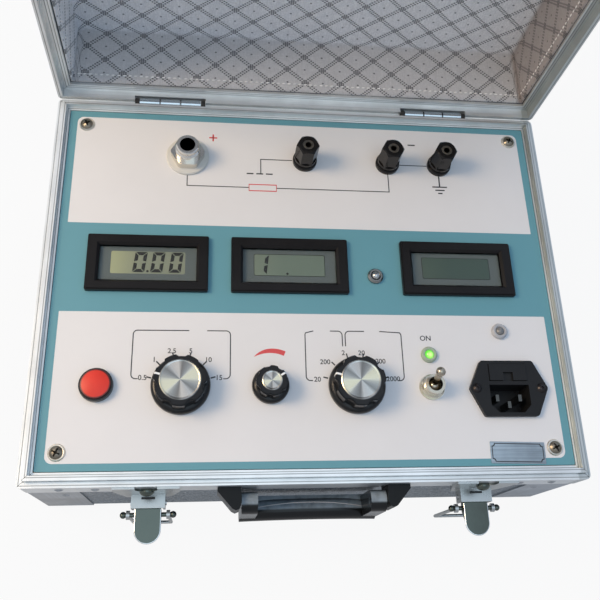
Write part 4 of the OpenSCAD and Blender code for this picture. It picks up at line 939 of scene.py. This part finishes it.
def latch_details():
    """Rolled edges of the levers made bright as painted highlights, thin dark plates on the hoods
    as painted shade for their slots, and domed studs above them.
    """
    half, back, bend, level, slot_z = 7.0, -131.5, -142.5, 57.7, 61.0
    for side, x in (("left", -93.0), ("right", 99.0)):
        tip = [(*point, level) for point in arc(x, bend, half, 180, 360, 18)]
        path = [(x - half, back, level), *tip, (x + half, back, level)]
        # Painted highlight: a bright bead along the lever's edge
        wire("lever_edge_" + side, path, 0.55, "edge_highlight_chrome", "latch_" + side)
        # Painted shade: each hood slot is a thin dark plate on the hood
        slot = flat_mesh("hood_slot_shade_" + side, [plate(0, 0, 7.6, 1.3, 0.3)], 0.05)
        on_panel(slot, slot_z - PANEL_Z / MM, x, -125.6)
        keep("hood_slot_shade_" + side, slot, "slot_shadow", "base")
        build = bmesh.new()
        place = Matrix.Scale(MM, 4) @ Matrix.Translation((x, -123.7, 74.5))
        bmesh.ops.create_uvsphere(build, u_segments=32, v_segments=16, radius=1.0,
                                  matrix=place @ Matrix.Diagonal((4.0, 2.8, 4.0, 1)))
        stud = mesh_of(build, "latch_stud_" + side, smooth=True)
        keep("latch_stud_" + side, stud, "lever_chrome", "base")


def handle_seam():
    """Parting line over the arched bar of the grip, pale as a painted highlight."""
    path = []
    for i in range(-18, 19):
        x = i * 2.1
        share = 1 - (x / 41) ** 2
        behind = -0.8 + 4.2 * share
        path.append((x, -131.5 + behind, 38 + 6 * share + math.sqrt(36 - behind ** 2)))
    wire("handle_seam", path, 0.22, "seam_highlight", "handle")


def notch_shade_bushes():
    """Dark bushes that fill the ends of the notches beside the hinge barrels, put there as painted
    shade for those ends.
    """
    low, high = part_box("hinge_base_leaves")
    axis_y = (low.y + high.y) / 2
    profile = [(-1.45, 2.3), (-1.45, 2.7), (-1.2, 2.95), (1.2, 2.95), (1.45, 2.7), (1.45, 2.3)]
    build = bmesh.new()
    for hinge in (-HINGE_X, HINGE_X):
        for x in (hinge - NOTCH_HALF, hinge + NOTCH_HALF):
            rings = []
            for along, radius in profile:
                ring = [spot(axis_y, HINGE_Z * MM, radius * MM, a) for a in range(0, 360, 15)]
                rings.append([((x + along) * MM, y, z) for y, z in ring])
            loft(build, rings)
    keep("notch_shade_bushes", mesh_of(build, "notch_shade_bushes"), "rubber_foot", "base")


def press_spring():
    """Spring of the test button, as a piece with its own copy of the CAD spring's mesh."""
    mesh = NODES["test_button_spring"].data.copy()
    piece = keep("test_spring_coils", mesh, "spring_steel", "base")
    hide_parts("test_button_spring")
    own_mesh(piece)


def lining_mesh():
    """Inner skin of the lid's lining: an open box of cloth, soft in its folds and uneven."""
    wide, deep, high = 76, 11, 57
    build = bmesh.new()
    grid = {}

    def quad(*corners):
        """Face between lattice points: i along X, j from the lip to the back, k along Z."""
        for i, j, k in corners:
            if (i, j, k) not in grid:
                grid[i, j, k] = build.verts.new((
                    LINING_X * (2 * i / wide - 1),
                    LINING_LOW.y + (LINING_BACK - LINING_LOW.y) * j / deep,
                    LINING_MID + LINING_Z * (2 * k / high - 1),
                ))
        build.faces.new([grid[corner] for corner in corners])

    for i in range(wide):
        for k in range(high):
            quad((i, deep, k), (i + 1, deep, k), (i + 1, deep, k + 1), (i, deep, k + 1))
    for j in range(deep):
        for k in (0, high):
            for i in range(wide):
                quad((i, j, k), (i + 1, j, k), (i + 1, j + 1, k), (i, j + 1, k))
        for i in (0, wide):
            for k in range(high):
                quad((i, j, k), (i, j, k + 1), (i, j + 1, k + 1), (i, j + 1, k))
    folds = []
    for (i, j, k), vert in grid.items():
        near_walls = (i <= 1 or i >= wide - 1) + (j >= deep - 1) + (k <= 1 or k >= high - 1)
        if j > 1 and near_walls >= 2:
            folds.append(vert)
    every_axis = {"use_axis_x": True, "use_axis_y": True, "use_axis_z": True}
    for _ in range(2):
        bmesh.ops.smooth_vert(build, verts=folds, factor=0.5, **every_axis)
    bmesh.ops.recalc_face_normals(build, faces=build.faces)
    build.normal_update()
    middle = Vector((0, LINING_LOW.y, LINING_MID))
    for vert in build.verts:
        inward = vert.normal if vert.normal.dot(middle - vert.co) > 0 else -vert.normal
        ripple = noise.noise(vert.co * 24.0) * 0.5 + noise.noise(vert.co * 75.0) * 0.25
        vert.co += inward * max(0.0, ripple + 0.25) * 0.7 * MM
    return mesh_of(build, "lid_lining_cloth", smooth=True)


def stitch_row(cloth):
    """Stitches along the lip of the lining, laid on the cloth."""
    pitch, length, lip = 3.6 * MM, 2.4 * MM, 5.6 * MM
    thread = Matrix.Diagonal((length / 2, 0.5 * MM, 0.4 * MM, 1))
    polygons = [p.vertices for p in cloth.polygons]
    skin = BVHTree.FromPolygons([v.co for v in cloth.vertices], polygons)
    middle = Vector((0, LINING_LOW.y + lip, LINING_MID))
    corners = [middle + Vector((x, 0, z)) for x, z in rectangle(0, 0, 2 * LINING_X, 2 * LINING_Z)]
    build = bmesh.new()
    for n, (x, z) in enumerate(((0, 1), (-1, 0), (0, -1), (1, 0))):
        start, end, inward = corners[n], corners[(n + 1) % 4], Vector((x, 0, z))
        run = (end - start).normalized()
        count = int((end - start).length / pitch) - 1
        spare = ((end - start).length - count * pitch) / 2
        for s in range(count):
            over = start + run * (spare + (s + 0.5) * pitch) + inward * 3 * MM
            at = skin.find_nearest(over)[0] + inward * 0.1 * MM
            lean = Vector((0, 0.16, 0)) * (1 if s % 2 else 0.7)
            axis = (run + lean).normalized()
            side = axis.cross(inward).normalized()
            turn = Matrix((axis, side, inward)).transposed().to_4x4()
            bmesh.ops.create_uvsphere(build, u_segments=8, v_segments=6, radius=1.0,
                                      matrix=Matrix.Translation(at) @ turn @ thread)
    return mesh_of(build, "lining_stitches", smooth=True)


def lid_cloth():
    """Lining with its thickness, and the row of stitches along its lip."""
    piece = keep("lid_lining_cloth", lining_mesh(), "lining_cloth", "lid")
    solid = piece.modifiers.new("thickness", "SOLIDIFY")
    solid.thickness = 1.2 * MM
    solid.offset = -1.0
    graph = bpy.context.evaluated_depsgraph_get()
    thick = bpy.data.meshes.new_from_object(piece.evaluated_get(graph))
    piece.modifiers.clear()
    piece.data = thick
    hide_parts("lid_lining")
    stitches = keep("lining_stitches", stitch_row(thick), "thread", "lid")


def white_to_camera(made, shader, share):
    """Gives a share of plain white to camera and glass rays, and a smaller one to mirror rays."""
    paths = made.node("ShaderNodeLightPath").outputs
    seen = made.math(
        "MAXIMUM",
        paths["Is Camera Ray"],
        paths["Is Transmission Ray"],
        made.math("MULTIPLY", paths["Is Glossy Ray"], MIRRORED),
    )
    white = made.node("ShaderNodeEmission").outputs[0]
    inputs = {0: made.math("MULTIPLY", seen, share), 1: shader.outputs[0], 2: white}
    blend = made.node("ShaderNodeMixShader", inputs)
    output = next(n for n in made.tree.nodes if n.type in ("OUTPUT_MATERIAL", "OUTPUT_WORLD"))
    made.tree.links.new(blend.outputs[0], output.inputs["Surface"])


def floor_and_light():
    """Grey floor that is nearly white to the camera, soft lamps and a white surround."""
    bpy.ops.mesh.primitive_plane_add(size=12, location=(0, 0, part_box("feet")[0].z))
    floor = bpy.context.object
    floor.name = "floor"
    made = Shader("floor", (0.42, 0.43, 0.45), 0.9)
    aside = made.math("DIVIDE", made.absolute(made.x), 0.15)
    behind = made.math("DIVIDE", made.absolute(made.math("SUBTRACT", made.y, 0.14)), 0.05)
    clear_of_lid = made.math("MAXIMUM", aside, behind)
    white_to_camera(made, made.bsdf, made.range(clear_of_lid, 0.86, 1.04, 0.0, 0.92))
    floor.data.materials.append(made.material)
    world = bpy.data.worlds.new("surround")
    bpy.context.scene.world = world
    world.use_nodes = True
    sky = Nodes(world.node_tree)
    ground = sky.tree.nodes["Background"]
    x, y, _ = sky.axes(sky.node("ShaderNodeTexCoord").outputs["Generated"])
    colour = sky.mix(sky.range(x, -0.8, 0.8), (0.92, 0.92, 0.96), (0.24, 0.40, 0.66))
    sky.tree.links.new(colour, ground.inputs["Color"])
    sky.tree.links.new(sky.range(y, -0.9, 0.9, 0.5, 1.3), ground.inputs["Strength"])
    white_to_camera(sky, ground, 1.0)
    for name, place, size, power, colour in (
        ("window", (-0.8, 0.08, 0.85), 0.42, 7.5, (1.0, 0.76, 0.50)),
        ("ceiling", (0.1, -0.4, 1.75), 1.3, 4.8, (0.64, 0.86, 1.0)),
    ):
        data = bpy.data.lights.new(name, "AREA")
        data.size = size
        data.energy = power
        data.color = colour
        lamp = bpy.data.objects.new(name, data)
        lamp.location = place
        down = Vector((0, 0, 0.08)) - Vector(place)
        lamp.rotation_euler = down.to_track_quat("-Z", "Y").to_euler()
        bpy.context.scene.collection.objects.link(lamp)


def photo_camera():
    """Camera fitted to the panel's corners, meters and posts in the photograph."""
    place = Vector((-62.1, -179.6, 526.1)) * MM
    azimuth, elevation, roll = math.radians(18.3), math.radians(65.5), math.radians(17.94)
    level_step = math.cos(elevation)
    forward = Vector((
        math.sin(azimuth) * level_step,
        math.cos(azimuth) * level_step,
        -math.sin(elevation),
    ))
    level = forward.cross(Vector((0, 0, 1))).normalized()
    upright = level.cross(forward)
    right = level * math.cos(roll) + upright * math.sin(roll)
    up = upright * math.cos(roll) - level * math.sin(roll)
    turn = Matrix((right, up, -forward)).transposed().to_4x4()
    camera = bpy.data.objects.new("camera", bpy.data.cameras.new("camera"))
    camera.matrix_world = Matrix.Translation(place) @ turn
    camera.data.sensor_width = 36
    camera.data.lens = 46.8
    camera.data.shift_x = -0.018
    camera.data.shift_y = -0.063
    bpy.context.scene.collection.objects.link(camera)
    bpy.context.scene.camera = camera


dress_nodes()
printed_blocks()
circuit_lines()
dial_marks()
dial_figures()
meter_displays()
pointers()
data_plate()
latch_details()
handle_seam()
notch_shade_bushes()
press_spring()
lid_cloth()
floor_and_light()
photo_camera()
bpy.context.scene.view_settings.view_transform = "Standard"
